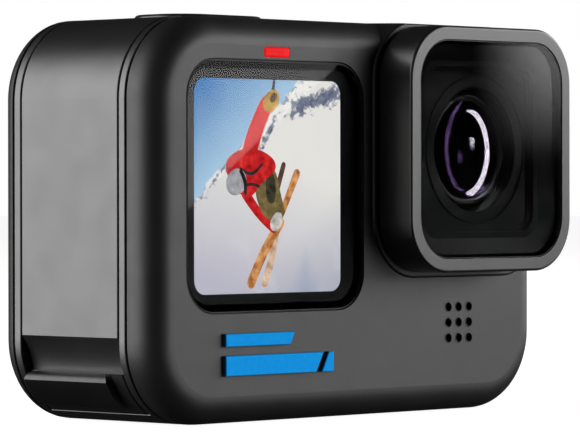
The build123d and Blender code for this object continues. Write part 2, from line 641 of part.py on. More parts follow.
def hinge_bar():
    return hinge_rod(HINGE_BAR_R, FRONT_SEAM_Y + 0.55, REAR_SEAM_Y - 0.55)


# --- Buttons --------------------------------------------------------------------------------
def shutter_button():
    cap = along_z(
        Pos(SHUTTER_X, SHUTTER_Y) * RectangleRounded(SHUTTER_W, SHUTTER_D, SHUTTER_R),
        HEIGHT - 1.3,
        SHUTTER_TOP_Z,
    )
    cap = fillet(edges_at_z(cap, SHUTTER_TOP_Z), 0.5)
    stem = along_z(Pos(SHUTTER_X, SHUTTER_Y) * Circle(1.6), HEIGHT - 3.0, HEIGHT - 1.3)
    return cap + stem


def shutter_seal():
    """Rubber boot between the cap and the casing."""
    outer = RectangleRounded(SHUTTER_W + 2.2, SHUTTER_D + 2.2, SHUTTER_R + 1.1)
    web = along_z(Pos(SHUTTER_X, SHUTTER_Y) * (outer - Circle(1.9)), HEIGHT - 2.5, HEIGHT - 2.0)
    return web


def tact_switch(x, y, z, axis):
    """A small dome switch that a button's stem presses."""
    base = Box(4.0, 4.0, 0.9) + Pos(0, 0, 0.6) * Cylinder(1.4, 0.3)
    turn = {"z": Rot(0, 0, 0), "x": Rot(0, 90, 0)}[axis]
    return Pos(x, y, z) * turn * base


def shutter_switch():
    return tact_switch(SHUTTER_X, SHUTTER_Y, HEIGHT - 4.3, "z")


def mode_button():
    cap = along_x(
        Pos(MODE_Y, MODE_Z) * RectangleRounded(MODE_W, MODE_H, MODE_W / 2 - 0.01),
        SIDE_X - 1.4,
        SIDE_X - 0.05,
    )
    cap = fillet(edges_at_x(cap, SIDE_X - 0.05), 0.4)
    stem = along_x(Pos(MODE_Y, MODE_Z) * Circle(1.3), SIDE_X - 3.4, SIDE_X - 1.4)
    return cap + stem


def mode_seal():
    ring = RectangleRounded(MODE_W + 2.4, MODE_H + 2.4, 4.2) - Circle(1.6)
    return along_x(Pos(MODE_Y, MODE_Z) * ring, SIDE_X - 2.5, SIDE_X - 2.0)


def mode_switch():
    return tact_switch(SIDE_X - 4.7, MODE_Y, MODE_Z, "x")


# --- Folding fingers ------------------------------------------------------------------------
def finger(side):
    """One mount finger, folded flat; side is +1 to the right and -1 to the left."""
    px = side * FINGER_PIVOT_X
    hole_x = px + side * FINGER_REACH
    z0 = FINGER_PIVOT_Z - FINGER_T / 2
    half = FINGER_W / 2
    eye = Pos(hole_x, FINGER_Y) * Circle(half)
    x0, x1 = sorted((px, hole_x))
    arm = Pos((x0 + x1) / 2, FINGER_Y) * Rectangle(x1 - x0, FINGER_W)
    plate = along_z(eye + arm, z0, z0 + FINGER_T)
    plate = chamfer(
        [e for e in plate.edges() if e.geom_type == GeomType.CIRCLE], 0.25
    )
    knuckle = along_y(
        Pos(px, FINGER_PIVOT_Z) * Circle(FINGER_T / 2), FINGER_Y - half, FINGER_Y + half
    )
    plate += knuckle
    plate -= along_y(Pos(px, FINGER_PIVOT_Z) * Circle(0.86), -10, 20)
    plate -= along_z(Pos(hole_x, FINGER_Y) * Circle(FINGER_BORE_R), -1, 5)
    # Shallow counterbore on the outer side of the eye, which faces the ceiling when folded.
    plate -= along_z(
        Pos(hole_x, FINGER_Y) * Circle(4.2), FINGER_PIVOT_Z + FINGER_T / 2 - 0.5, 5
    )
    return plate


def finger_tray():
    """Metal tray set into the underside, with a pocket for the folded fingers."""
    tray = along_z(
        Pos(0, FINGER_Y) * RectangleRounded(2 * TRAY_HALF_X - 0.1, 2 * TRAY_HALF_Y - 0.1, 2.45),
        0,
        TRAY_TOP_Z,
    )
    half = FINGER_W / 2 + 0.2
    reach = FINGER_PIVOT_X + FINGER_REACH
    pocket = Pos(0, FINGER_Y) * Rectangle(2 * reach, 2 * half)
    for side in (-1, 1):
        pocket += Pos(side * reach, FINGER_Y) * Circle(half)
        # Notch for a fingernail at the free end of each finger.
        pocket += Pos(side * (reach + half - 0.6), FINGER_Y) * RectangleRounded(3.6, 7.0, 1.2)
    tray -= along_z(pocket, -1, POCKET_TOP_Z)
    tray += block(-1.35, 1.35, FINGER_Y - half, FINGER_Y + half, 0.0, POCKET_TOP_Z)
    for side in (-1, 1):
        pin = Pos(side * FINGER_PIVOT_X, FINGER_PIVOT_Z) * Circle(0.8)
        tray -= along_y(pin, FINGER_Y - half - 0.9, FINGER_Y + half + 0.9)
    return tray


def finger_pins():
    half = FINGER_W / 2 + 1.0
    pins = [
        along_y(
            Pos(side * FINGER_PIVOT_X, FINGER_PIVOT_Z) * Circle(0.8),
            FINGER_Y - half,
            FINGER_Y + half,
        )
        for side in (-1, 1)
    ]
    return Compound(children=pins)


def finger_detent():
    """Leaf spring on top of the tray that holds the fingers open or shut."""
    leaf = block(-6.0, 6.0, FINGER_Y - 3.0, FINGER_Y + 3.0, TRAY_TOP_Z, TRAY_TOP_Z + 0.3)
    return fillet(leaf.edges().filter_by(Axis.Z), 1.0)


# --- Inside ---------------------------------------------------------------------------------
def battery():
    pack = soft_block(*BATTERY, 1.0)
    x0, _, y0, y1, z0, _ = BATTERY
    tab = block(x0 - 0.35, x0, y0 + 3, y1 - 3, z0 + 3.0, z0 + 9.0)
    return pack + tab


def battery_contacts():
    x1, z0 = BATTERY[1], BATTERY[4]
    blades = [
        block(x1 + 0.02, x1 + CONTACT_LENGTH, 1.0, 5.4, z0 + 3 * i + 3, z0 + 3 * i + 4.2)
        for i in range(4)
    ]
    return Compound(children=blades)


def battery_bay():
    """Box for the battery, with the face that the door's seal closes on."""
    x0, x1, y0, y1, z0, z1 = BATTERY
    width, height = BAY_FACE_Y[1] - BAY_FACE_Y[0], BAY_FACE_Z[1] - BAY_FACE_Z[0]
    face = Pos(sum(BAY_FACE_Y) / 2, sum(BAY_FACE_Z) / 2) * RectangleRounded(width, height, 2.4)
    bay = along_x(face, *BAY_FACE_X)
    room = (y0 - BAY_GAP, y1 + BAY_GAP, z0 - BAY_GAP, z1 + BAY_GAP)
    outside = [v + BAY_WALL * (1 if i % 2 else -1) for i, v in enumerate(room)]
    bay += block(BAY_FACE_X[1], x1 + CONTACT_LENGTH + 0.6, *outside)
    bay -= block(BAY_FACE_X[0] - 1, x1 + CONTACT_LENGTH, *room)
    slot = Pos(CARD_Y, sum(CARD_Z) / 2) * Rectangle(CARD_T + 0.3, CARD_Z[1] - CARD_Z[0] + 0.5)
    bay -= along_x(slot, BAY_FACE_X[0] - 1, BAY_FACE_X[1] + 1)
    port = Pos(USB_Y, USB_Z) * SlotOverall(9.1, 3.4)
    return bay - along_x(port, BAY_FACE_X[0] - 1, BAY_FACE_X[1] + 1)


def memory_card():
    """Push-push memory card with its notched corner."""
    y0, y1 = CARD_Y - CARD_T / 2, CARD_Y + CARD_T / 2
    card = block(*CARD_X, y0, y1, *CARD_Z)
    card -= block(CARD_X[1] - 6, CARD_X[1] + 1, y0, y1, CARD_Z[1] - 1.3, CARD_Z[1] + 1)
    return fillet(card.edges().filter_by(Axis.Y), 0.3)


def card_socket():
    shell = block(BAY_FACE_X[1] + 0.1, -14.9, CARD_Y - 0.62, CARD_Y + 0.62, 15.2, 27.8)
    return shell - block(BAY_FACE_X[1], -15.6, CARD_Y - 0.42, CARD_Y + 0.42, 15.9, 27.1)


def usb_port():
    shell = along_x(Pos(USB_Y, USB_Z) * SlotOverall(9.0, 3.3), BAY_FACE_X[0] + 0.1, -24.5)
    shell -= along_x(Pos(USB_Y, USB_Z) * SlotOverall(8.4, 2.7), BAY_FACE_X[0], -25.5)
    tongue = block(-31.0, -25.0, USB_Y - 3.3, USB_Y + 3.3, USB_Z - 0.35, USB_Z + 0.35)
    return shell + tongue


def main_board():
    board = block(-29.5, 32.0, 12.3, 13.1, 5.6, 46.0)
    return fillet(board.edges().filter_by(Axis.Y), 6.0)


def processor_shield():
    can = block(11.5, 30.5, 9.9, 12.3, 24.6, 42.0)
    return fillet(can.edges().filter_by(Axis.Y), 1.0)


def memory_chips():
    places = [(-14.0, 40.6), (-3.0, 40.6), (13.0, 8.0), (24.0, 8.0)]
    return Compound(
        children=[block(x, x + 8.0, 11.3, 12.3, z, z + 5.0) for x, z in places]
    )


def heat_spreader():
    """Aluminium plate between the front display and the battery."""
    plate = block(-25.5, 8.5, -5.6, -4.9, 9.9, 39.9)
    plate = fillet(plate.edges().filter_by(Axis.Y), 2.0)
    for i in range(4):
        plate -= along_y(Pos(-21.5 + 8.5 * i, 36.5) * SlotOverall(5.0, 1.6), -6, -4)
    return plate


def speaker():
    box = block(SIDE_X - 7.4, SIDE_X - 2.9, MODE_Y - 4.2, MODE_Y + 4.2, 9.2, 17.6)
    return fillet(box.edges().filter_by(Axis.X), 1.2)


def speaker_mesh():
    return block(SIDE_X - 2.6, SIDE_X - 2.1, MODE_Y - 4.0, MODE_Y + 4.0, 10.1, 16.7)


def front_microphone():
    can = block(MIC_X - 2.0, MIC_X + 2.0, FRONT_Y + 2.6, FRONT_Y + 3.8, MIC_Z - 1.5, MIC_Z + 1.5)
    return fillet(can.edges().filter_by(Axis.Y), 0.4)


def microphone_membrane():
    """Waterproof mesh disc behind the nine holes."""
    return along_y(Pos(MIC_X, MIC_Z) * Circle(4.0), FRONT_Y + WALL, FRONT_Y + WALL + 0.4)


def antenna():
    strip = block(8.5, 26.0, 0.5, 9.0, HEIGHT - 3.0, HEIGHT - 2.4)
    return fillet(strip.edges().filter_by(Axis.Z), 1.5)


def flex_cables():
    """Flat cables from the sensor board and the front display to the main board."""
    sensor = block(LENS_X - 3, LENS_X + 3, 6.1, 12.3, 23.8, 24.0)
    display = block(10.5, 10.7, -6.9, 12.3, 13.0, 20.0)
    return Compound(children=[sensor, display])


def casing_screws():
    """Screws that pull the front cover onto the middle frame, from inside."""
    screws = []
    for x, z in SCREW_PLACES:
        head = along_y(Pos(x, z) * Circle(SCREW_HEAD_R), RAIL_FRONT_Y, RAIL_FRONT_Y + 0.95)
        socket = Pos(x, z) * RegularPolygon(0.7, 6)
        head -= along_y(socket, RAIL_FRONT_Y + 0.5, RAIL_FRONT_Y + 1)
        shank = along_y(Pos(x, z) * Circle(SCREW_R - 0.01), -9.0, RAIL_FRONT_Y)
        screws.append(head + shank)
    return Compound(children=screws)


PARTS = {
    "front_cover": front_cover,
    "mid_frame": mid_frame,
    "rear_cover": rear_cover,
    "front_screen_glass": front_screen_glass,
    "front_screen_gasket": front_screen_gasket,
    "front_display": front_display,
    "rear_touch_glass": rear_touch_glass,
    "rear_display": rear_display,
    "tally_light": tally_light,
    "status_light": status_light,
    "badge": badge,
    "lens_cover_frame": lens_cover_frame,
    "lens_cover_glass": lens_cover_glass,
    "lens_cover_baffle": lens_cover_baffle,
    "lens_cover_gasket": lens_cover_gasket,
    "lens_cover_socket": lens_cover_socket,
    "lens_seal": lens_seal,
    "mount_ring": mount_ring,
    "lens_barrel": lens_barrel,
    "front_element": front_element,
    "middle_element": middle_element,
    "rear_element": rear_element,
    "lens_retainer": lens_retainer,
    "image_sensor": image_sensor,
    "sensor_board": sensor_board,
    "side_door": side_door,
    "door_liner": door_liner,
    "door_seal": door_seal,
    "door_latch": door_latch,
    "latch_spring": latch_spring,
    "hinge_bar": hinge_bar,
    "shutter_button": shutter_button,
    "shutter_seal": shutter_seal,
    "shutter_switch": shutter_switch,
    "mode_button": mode_button,
    "mode_seal": mode_seal,
    "mode_switch": mode_switch,
    "finger_left": lambda: finger(-1),
    "finger_right": lambda: finger(1),
    "finger_tray": finger_tray,
    "finger_pins": finger_pins,
    "finger_detent": finger_detent,
    "battery": battery,
    "battery_contacts": battery_contacts,
    "battery_bay": battery_bay,
    "memory_card": memory_card,
    "card_socket": card_socket,
    "usb_port": usb_port,
    "main_board": main_board,
    "processor_shield": processor_shield,
    "memory_chips": memory_chips,
    "heat_spreader": heat_spreader,
    "speaker": speaker,
    "speaker_mesh": speaker_mesh,
    "front_microphone": front_microphone,
    "microphone_membrane": microphone_membrane,
    "antenna": antenna,
    "flex_cables": flex_cables,
    "casing_screws": casing_screws,
}

os.makedirs("parts", exist_ok=True)
for name, build in PARTS.items():
    export_step(build(), f"parts/{name}.step")
print("hinge axis", round(HINGE_X, 3), round(HINGE_Z, 3), "nodes", len(PARTS))
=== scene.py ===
"""Looks of the action camera: finishes, lens details, the pictures on its two screens, studio and view."""

import json
import math

import bpy
from mathutils import Matrix, Vector


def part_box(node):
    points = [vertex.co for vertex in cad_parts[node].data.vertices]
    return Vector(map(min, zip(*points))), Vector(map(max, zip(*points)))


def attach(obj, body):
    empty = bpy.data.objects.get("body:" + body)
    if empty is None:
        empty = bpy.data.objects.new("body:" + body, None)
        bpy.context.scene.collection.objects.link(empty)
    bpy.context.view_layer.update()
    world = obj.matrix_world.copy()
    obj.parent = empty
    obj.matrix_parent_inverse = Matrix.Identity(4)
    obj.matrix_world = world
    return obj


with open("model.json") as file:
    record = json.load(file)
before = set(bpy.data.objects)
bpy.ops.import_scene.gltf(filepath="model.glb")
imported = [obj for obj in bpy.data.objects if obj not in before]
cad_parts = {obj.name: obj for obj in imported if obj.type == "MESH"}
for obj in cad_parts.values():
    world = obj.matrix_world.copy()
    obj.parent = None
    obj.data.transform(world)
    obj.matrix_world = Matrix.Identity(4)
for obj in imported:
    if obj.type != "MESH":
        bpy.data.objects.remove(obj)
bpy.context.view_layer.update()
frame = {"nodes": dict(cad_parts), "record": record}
MM = 0.001
EYE_HEIGHT = Vector((0, 0, 0.0287))
VIEW_TURN, VIEW_TILT, VIEW_ROLL = (math.radians(a) for a in (46.505, -0.397, 0.074))


# --- View -----------------------------------------------------------------------------------
def make_camera():
    """Long lens, a little above the middle of the camera's left front corner."""
    data = bpy.data.cameras.new("view")
    data.lens = 239.46
    data.sensor_width = 36.0
    data.clip_start = 0.01
    camera = bpy.data.objects.new("view", data)
    bpy.context.scene.collection.objects.link(camera)
    look = Matrix.Rotation(-VIEW_TURN, 4, "Z") @ Matrix.Rotation(math.pi / 2 + VIEW_TILT, 4, "X")
    place = Matrix.Translation(Vector((-0.36066, -0.34149, 0)) + EYE_HEIGHT)
    camera.matrix_world = place @ look @ Matrix.Rotation(-VIEW_ROLL, 4, "Z")
    bpy.context.scene.camera = camera
    bpy.context.scene.view_settings.view_transform = "Standard"


# --- Finishes -------------------------------------------------------------------------------
class Finish:
    """A material being made: one Principled shader, with patterns on the piece's own coordinates."""

    def __init__(self, name, color, roughness, **sockets):
        self.material = bpy.data.materials.new(name)
        self.material.use_nodes = True
        self.tree = self.material.node_tree
        self.shader = self.tree.nodes["Principled BSDF"]
        self.shader.inputs["Base Color"].default_value = (*color, 1)
        self.shader.inputs["Roughness"].default_value = roughness
        for socket, value in sockets.items():
            self.shader.inputs[socket.replace("_", " ")].default_value = value
        self.coords = self.node("TexCoord").outputs["Object"]

    def node(self, kind, **settings):
        made = self.tree.nodes.new("ShaderNode" + kind)
        for key, value in settings.items():
            if hasattr(made, key):
                setattr(made, key, value)
            else:
                made.inputs[key.replace("_", " ")].default_value = value
        return made

    def link(self, source, target):
        self.tree.links.new(source, target)
        return target

    def noise(self, size_mm, detail=3.0, rough=0.55, stretch=(1, 1, 1)):
        """Cloudy pattern whose features are about that size."""
        place = self.node("Mapping")
        place.inputs["Scale"].default_value = stretch
        self.link(self.coords, place.inputs["Vector"])
        cloud = self.node("TexNoise", Scale=1 / (size_mm * MM), Detail=detail, Roughness=rough)
        self.link(place.outputs["Vector"], cloud.inputs["Vector"])
        return cloud.outputs["Fac"]

    def cells(self, size_mm):
        """Small cell pattern, dark at the middle of each cell."""
        grain = self.node("TexVoronoi", Scale=1 / (size_mm * MM))
        self.link(self.coords, grain.inputs["Vector"])
        return grain.outputs["Distance"]

    def spread(self, pattern, low, high, start=0.3, end=0.7):
        """The pattern's values from start to end, turned into values from low to high."""
        ramp = self.node("MapRange", From_Min=start, From_Max=end, To_Min=low, To_Max=high)
        self.link(pattern, ramp.inputs["Value"])
        return ramp.outputs["Result"]

    def blend_colors(self, pattern, dark, light, start=0.3, end=0.7):
        mix = self.node("Mix", data_type="RGBA")
        self.link(self.spread(pattern, 0, 1, start, end), mix.inputs["Factor"])
        for socket, value in (("A", dark), ("B", light)):
            target = [s for s in mix.inputs if s.name == socket and s.type == "RGBA"][0]
            if hasattr(value, "is_output"):
                self.link(value, target)
            else:
                target.default_value = (*value, 1)
        return [s for s in mix.outputs if s.type == "RGBA"][0]

    def color(self, pattern, dark, light):
        self.link(self.blend_colors(pattern, dark, light), self.shader.inputs["Base Color"])
        return self

    def rough(self, pattern, low, high):
        self.link(self.spread(pattern, low, high), self.shader.inputs["Roughness"])
        return self

    def bump(self, pattern, height_mm, strength=1.0):
        bump = self.node("Bump", Strength=strength, Distance=height_mm * MM)
        self.link(pattern, bump.inputs["Height"])
        old = self.shader.inputs["Normal"].links
        if old:
            self.link(old[0].from_socket, bump.inputs["Normal"])
        self.link(bump.outputs["Normal"], self.shader.inputs["Normal"])
        return self


def soft_touch_plastic():
    """Casings: rubbery black coating with a very fine grain."""
    skin = Finish("soft_touch_plastic", (0.01, 0.01, 0.01), 0.46, Specular_IOR_Level=0.42)
    skin.color(skin.noise(9.0), (0.01, 0.01, 0.01), (0.014, 0.014, 0.014))
    skin.rough(skin.noise(2.5), 0.43, 0.49)
    skin.bump(skin.cells(0.16), 0.012, 0.22)
    return skin.material


def satin_plastic(name, roughness, gloss):
    """Side door and middle frame: smoother satin moulding."""
    skin = Finish(name, (0.012, 0.012, 0.012), roughness, Specular_IOR_Level=gloss)
    skin.color(skin.noise(14.0), (0.01, 0.01, 0.01), (0.014, 0.014, 0.014))
    skin.rough(skin.noise(5.0), roughness - 0.03, roughness + 0.03)
    skin.bump(skin.cells(0.12), 0.006, 0.18)
    return skin.material


def black_plastic(name="moulded_black_plastic", roughness=0.36, gloss=0.4):
    skin = Finish(name, (0.005, 0.005, 0.005), roughness, Specular_IOR_Level=gloss)
    skin.color(skin.noise(3.0), (0.004, 0.004, 0.004), (0.007, 0.007, 0.007))
    skin.rough(skin.noise(1.4), roughness - 0.04, roughness + 0.05)
    skin.bump(skin.noise(0.12), 0.008, 0.25)
    return skin.material


def cover_plastic():
    """Lens cover's frame: dense black with a silky sheen."""
    skin = Finish("silky_cover_plastic", (0.012, 0.012, 0.012), 0.3, Coat_Weight=0.25, Coat_Roughness=0.3)
    skin.color(skin.noise(6.0), (0.01, 0.01, 0.01), (0.014, 0.014, 0.014))
    skin.rough(skin.noise(1.8), 0.29, 0.34)
    skin.bump(skin.cells(0.1), 0.004, 0.15)
    return skin.material


def clear_glass(name, tint, ior):
    """Polished glass; its coating is a low index of refraction, which mirrors little."""
    glass = Finish(name, tint, 0.0, Transmission_Weight=1.0, IOR=ior)
    glass.rough(glass.noise(6.0), 0.0, 0.012)
    return glass.material


def optical_glass(name="coated_optical_glass", ior=1.1):
    """Lens elements: dense glass with a violet coating."""
    glass = Finish(name, (0.09, 0.06, 0.13), 0.0, Transmission_Weight=1.0, IOR=ior)
    glass.shader.inputs["Specular Tint"].default_value = (0.88, 0.8, 1.0, 1)
    glass.rough(glass.noise(4.0), 0.0, 0.01)
    return glass.material


def black_anodised(name="black_anodised_aluminium", roughness=0.45, tone=0.008):
    """Metal darkened by its oxide, with turning marks round the part."""
    metal = Finish(name, (tone, tone, tone * 1.05), roughness, Metallic=0.6, Specular_IOR_Level=0.4)
    metal.color(metal.noise(1.5), (tone * 0.8,) * 3, (tone * 1.3,) * 3)
    metal.rough(metal.noise(0.8), roughness - 0.06, roughness + 0.06)
    metal.bump(metal.noise(0.1, stretch=(1, 4, 1)), 0.006, 0.3)
    return metal.material


def bare_metal(name, color, roughness, grain=(1, 12, 1)):
    metal = Finish(name, color, roughness, Metallic=1.0)
    metal.color(metal.noise(1.2), tuple(c * 0.85 for c in color), color)
    metal.rough(metal.noise(0.7), roughness - 0.07, roughness + 0.07)
    metal.bump(metal.noise(0.15, stretch=grain), 0.004, 0.3)
    return metal.material


def rubber():
    skin = Finish("black_rubber", (0.014, 0.014, 0.015), 0.62, Specular_IOR_Level=0.35)
    skin.color(skin.noise(1.5), (0.011, 0.011, 0.012), (0.018, 0.018, 0.019))
    skin.rough(skin.noise(0.8), 0.56, 0.7)
    skin.bump(skin.noise(0.2), 0.01, 0.3)
    return skin.material


def badge_blue():
    """Raised accent: faces towards the front are bright blue with a painted glow; sides turned aside are dark
    blue, painted shade by their facing.
    """
    # The emission is a painted glow on the badge.
    blue = Finish("blue_badge_painted_glow", (0.004, 0.3, 0.7), 0.4, Specular_IOR_Level=0.02, Emission_Strength=0.3)
    facing = blue.node("SeparateXYZ")
    blue.link(blue.node("NewGeometry").outputs["Normal"], facing.inputs[0])
    tone = blue.blend_colors(blue.noise(0.6), (0.001, 0.26, 0.7), (0.003, 0.3, 0.78))
    # Sides turned away from the front are darker, which is painted shade by facing; the same tone sets the
    # painted glow.
    facing_glow_tone = blue.blend_colors(facing.outputs["Y"], tone, (0.002, 0.012, 0.03), -0.9, -0.5)
    blue.link(facing_glow_tone, blue.shader.inputs["Base Color"])
    blue.link(facing_glow_tone, blue.shader.inputs["Emission Color"])
    blue.rough(blue.noise(0.5), 0.3, 0.42)
    blue.bump(blue.noise(0.1), 0.004, 0.2)
    return blue.material


def red_light():
    """Recording light: lit red lens."""
    red = Finish("lit_red_lens", (0.3, 0.002, 0.002), 0.3, Emission_Strength=0.68, Specular_IOR_Level=0.04)
    glow = red.blend_colors(red.noise(1.2), (0.85, 0.006, 0.008), (1.0, 0.02, 0.02))
    red.link(glow, red.shader.inputs["Emission Color"])
    red.rough(red.noise(0.5), 0.2, 0.32)
    return red.material


def printed_board():
    """Circuit board: green laminate with paler tracks."""
    board = Finish("green_laminate", (0.01, 0.07, 0.035), 0.4)
    tracks = board.node("TexBrick", Scale=700.0, Mortar_Size=0.03)
    board.link(board.coords, tracks.inputs["Vector"])
    board.color(tracks.outputs["Fac"], (0.008, 0.06, 0.03), (0.03, 0.16, 0.07))
    board.rough(board.noise(0.8), 0.33, 0.45)
    board.bump(tracks.outputs["Fac"], 0.02, 0.5)
    return board.material


def film():
    flex = Finish("amber_film", (0.32, 0.13, 0.02), 0.3)
    flex.color(flex.noise(1.0, stretch=(6, 1, 1)), (0.25, 0.09, 0.015), (0.4, 0.18, 0.03))
    flex.rough(flex.noise(1.0), 0.25, 0.4)
    return flex.material


def battery_case():
    case = Finish("battery_case", (0.05, 0.05, 0.055), 0.5)
    case.color(case.noise(4.0), (0.04, 0.04, 0.045), (0.06, 0.06, 0.065))
    case.rough(case.noise(1.2), 0.45, 0.58)
    case.bump(case.cells(0.25), 0.01, 0.3)
    return case.material


def display_black():
    panel = Finish("display_black", (0.004, 0.004, 0.005), 0.3, Specular_IOR_Level=0.04)
    panel.color(panel.noise(3.0), (0.003, 0.003, 0.004), (0.006, 0.006, 0.007))
    panel.rough(panel.noise(2.0), 0.26, 0.36)
    return panel.material


def painted_edge_highlight():
    """Pale grey band on a glass's bevel: a painted highlight along its edge."""
    # Pale grey standing for the light that the bevel catches: painted highlight.
    edge = Finish("glass_edge_painted_highlight", (0.12, 0.12, 0.12), 0.55)
    edge.color(edge.noise(0.8), (0.09, 0.09, 0.09), (0.15, 0.15, 0.15))
    edge.rough(edge.noise(0.4), 0.5, 0.65)
    return edge.material


def woven():
    cloth = Finish("woven_mesh", (0.02, 0.02, 0.021), 0.7)
    cloth.color(cloth.noise(0.3), (0.012, 0.012, 0.013), (0.03, 0.03, 0.031))
    cloth.bump(cloth.cells(0.12), 0.03, 0.6)
    return cloth.material


FINISHES = {
    "casing": soft_touch_plastic(),
    "door_skin": satin_plastic("satin_door_plastic", 0.36, 0.75),
    "black_plastic": black_plastic(),
    "cover_plastic": cover_plastic(),
    "cover_glass": clear_glass("clear_cover_glass", (0.97, 0.97, 0.97), 1.2),
    "screen_glass": clear_glass("screen_glass", (0.96, 0.96, 0.96), 1.15),
    "display": display_black(),
    "optical_glass": optical_glass(),
    "lens_metal": black_anodised(),
    "red_lens": red_light(),
    "clear_lens": black_plastic("smoked_lens", 0.2, 0.5),
    "blue_badge": badge_blue(),
    "rubber": rubber(),
    "steel": bare_metal("brushed_steel", (0.5, 0.5, 0.51), 0.3),
    "finger_metal": black_anodised("black_anodised_fingers", 0.38, 0.03),
    "tray_metal": black_anodised("blasted_black_tray", 0.5, 0.024),
    "bare_aluminium": bare_metal("bare_aluminium", (0.6, 0.6, 0.62), 0.4),
    "gold_contact": bare_metal("gold_plating", (0.85, 0.6, 0.22), 0.22),
    "battery_case": battery_case(),
    "board": printed_board(),
    "chips": black_plastic("moulded_chip", 0.5),
    "flex": film(),
    "mesh": woven(),
}
# Pale finish for the glasses' bevels: a painted highlight.
EDGE_HIGHLIGHT_FINISH = painted_edge_highlight()
NODE_FINISHES = {
    "front_element": optical_glass("front_lens_glass", 1.6),
    "lens_cover_baffle": black_plastic("flat_black_baffle", 0.55, 0.02),
    "mid_frame": satin_plastic("satin_frame_plastic", 0.38, 0.8),
}


def dress_nodes():
    """Every carried-over part gets the finish of its slot, or one of its own."""
    for part in frame["record"]["subparts"]:
        node = frame["nodes"][part["node"]]
        for holder in node.material_slots:
            holder.material = NODE_FINISHES.get(part["node"], FINISHES[part["material_slot"]])


# --- Piece helpers --------------------------------------------------------------------------
def make_piece(name, mesh, body):
    piece = bpy.data.objects.new(name, mesh)
    bpy.context.scene.collection.objects.link(piece)
    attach(piece, body)
    return piece


def grow(name, tree, values, material):
    """Runs a Geometry Nodes tree once, and returns its result as a plain mesh."""
    holder = bpy.data.objects.new(name, bpy.data.meshes.new(name + "_seed"))
    bpy.context.scene.collection.objects.link(holder)
    modifier = holder.modifiers.new("grow", "NODES")
    modifier.node_group = tree
    keys = {i.name: i.identifier for i in tree.interface.items_tree if i.in_out == "INPUT"}
    for key, value in values.items():
        modifier[keys[key]] = value
    modifier[keys["Material"]] = material
    view = bpy.context.evaluated_depsgraph_get()
    mesh = bpy.data.meshes.new_from_object(holder.evaluated_get(view))
    bpy.data.objects.remove(holder)
    mesh.name = name
    return mesh


class Tree:
    """A Geometry Nodes tree with named inputs, which ends in Realize Instances and Set Material."""

    def __init__(self, name, **inputs):
        self.tree = bpy.data.node_groups.new(name, "GeometryNodeTree")
        for key, default in inputs.items():
            kind = "NodeSocketInt" if isinstance(default, int) else "NodeSocketFloat"
            made = self.tree.interface.new_socket(key.replace("_", " "), socket_type=kind)
            made.default_value = default
        self.tree.interface.new_socket("Material", socket_type="NodeSocketMaterial")
        self.tree.interface.new_socket("Geometry", in_out="OUTPUT", socket_type="NodeSocketGeometry")
        self.given = self.tree.nodes.new("NodeGroupInput").outputs

    def node(self, kind, links=None, **settings):
        made = self.tree.nodes.new(kind if "Node" in kind else "GeometryNode" + kind)
        for key, value in settings.items():
            setattr(made, key, value)
        for key, source in (links or {}).items():
            target = made.inputs[key]
            if hasattr(source, "is_output"):
                self.tree.links.new(source, target)
            else:
                target.default_value = source
        return made.outputs[0]

    def math(self, operation, a, b):
        return self.node("ShaderNodeMath", {0: a, 1: b}, operation=operation)

    def vector(self, x=0.0, y=0.0, z=0.0):
        return self.node("ShaderNodeCombineXYZ", {0: x, 1: y, 2: z})

    def finish(self, geometry):
        solid = self.node("RealizeInstances", {"Geometry": geometry})
        coated = self.node("SetMaterial", {"Geometry": solid, "Material": self.given["Material"]})
        out = self.tree.nodes.new("NodeGroupOutput")
        self.tree.links.new(coated, out.inputs[0])
        return self.tree


def ring_grid_tree():
    """Small round rims on a square grid in the XZ plane."""
    t = Tree("ring_grid", Across=3, Pitch=0.002, Ring_Radius=0.0006, Wire=0.00006)
    g = t.given
    span = t.math("MULTIPLY", t.math("SUBTRACT", g["Across"], 1.0), g["Pitch"])
    sides = {"Size X": span, "Size Y": span}
    grid = t.node("MeshGrid", {**sides, "Vertices X": g["Across"], "Vertices Y": g["Across"]})
    path = t.node("CurvePrimitiveCircle", {"Resolution": 40, "Radius": g["Ring Radius"]})
    wire = t.node("CurvePrimitiveCircle", {"Resolution": 8, "Radius": g["Wire"]})
    rim = t.node("CurveToMesh", {"Curve": path, "Profile Curve": wire})
    rims = t.node("InstanceOnPoints", {"Points": grid, "Instance": rim})
    turned = t.node("Transform", {"Geometry": rims, "Rotation": (math.pi / 2, 0, 0)})
    return t.finish(turned)


def ridge_stack_tree():
    """Round ridges one behind the other along Y, each a little smaller than the one in front."""
    t = Tree("ridge_stack", Count=6, Front_Radius=0.006, Back_Radius=0.005, Depth=0.001, Wire=0.00008)
    g = t.given
    last = t.math("SUBTRACT", g["Count"], 1.0)
    step = t.math("DIVIDE", g["Depth"], last)
    line = t.node("MeshLine", {"Count": g["Count"], "Offset": t.vector(y=step)}, mode="OFFSET")
    index = t.node("InputIndex")
    share = t.math("DIVIDE", index, last)
    drop = t.math("SUBTRACT", g["Back Radius"], g["Front Radius"])
    radius = t.math("ADD", g["Front Radius"], t.math("MULTIPLY", share, drop))
    path = t.node("CurvePrimitiveCircle", {"Resolution": 96, "Radius": 1.0})
    path = t.node("Transform", {"Geometry": path, "Rotation": (math.pi / 2, 0, 0)})
    size = t.vector(radius, radius, radius)
    rings = t.node("InstanceOnPoints", {"Points": line, "Instance": path, "Scale": size})
    rings = t.node("RealizeInstances", {"Geometry": rings})
    wire = t.node("CurvePrimitiveCircle", {"Resolution": 8, "Radius": g["Wire"]})
    return t.finish(t.node("CurveToMesh", {"Curve": rings, "Profile Curve": wire}))


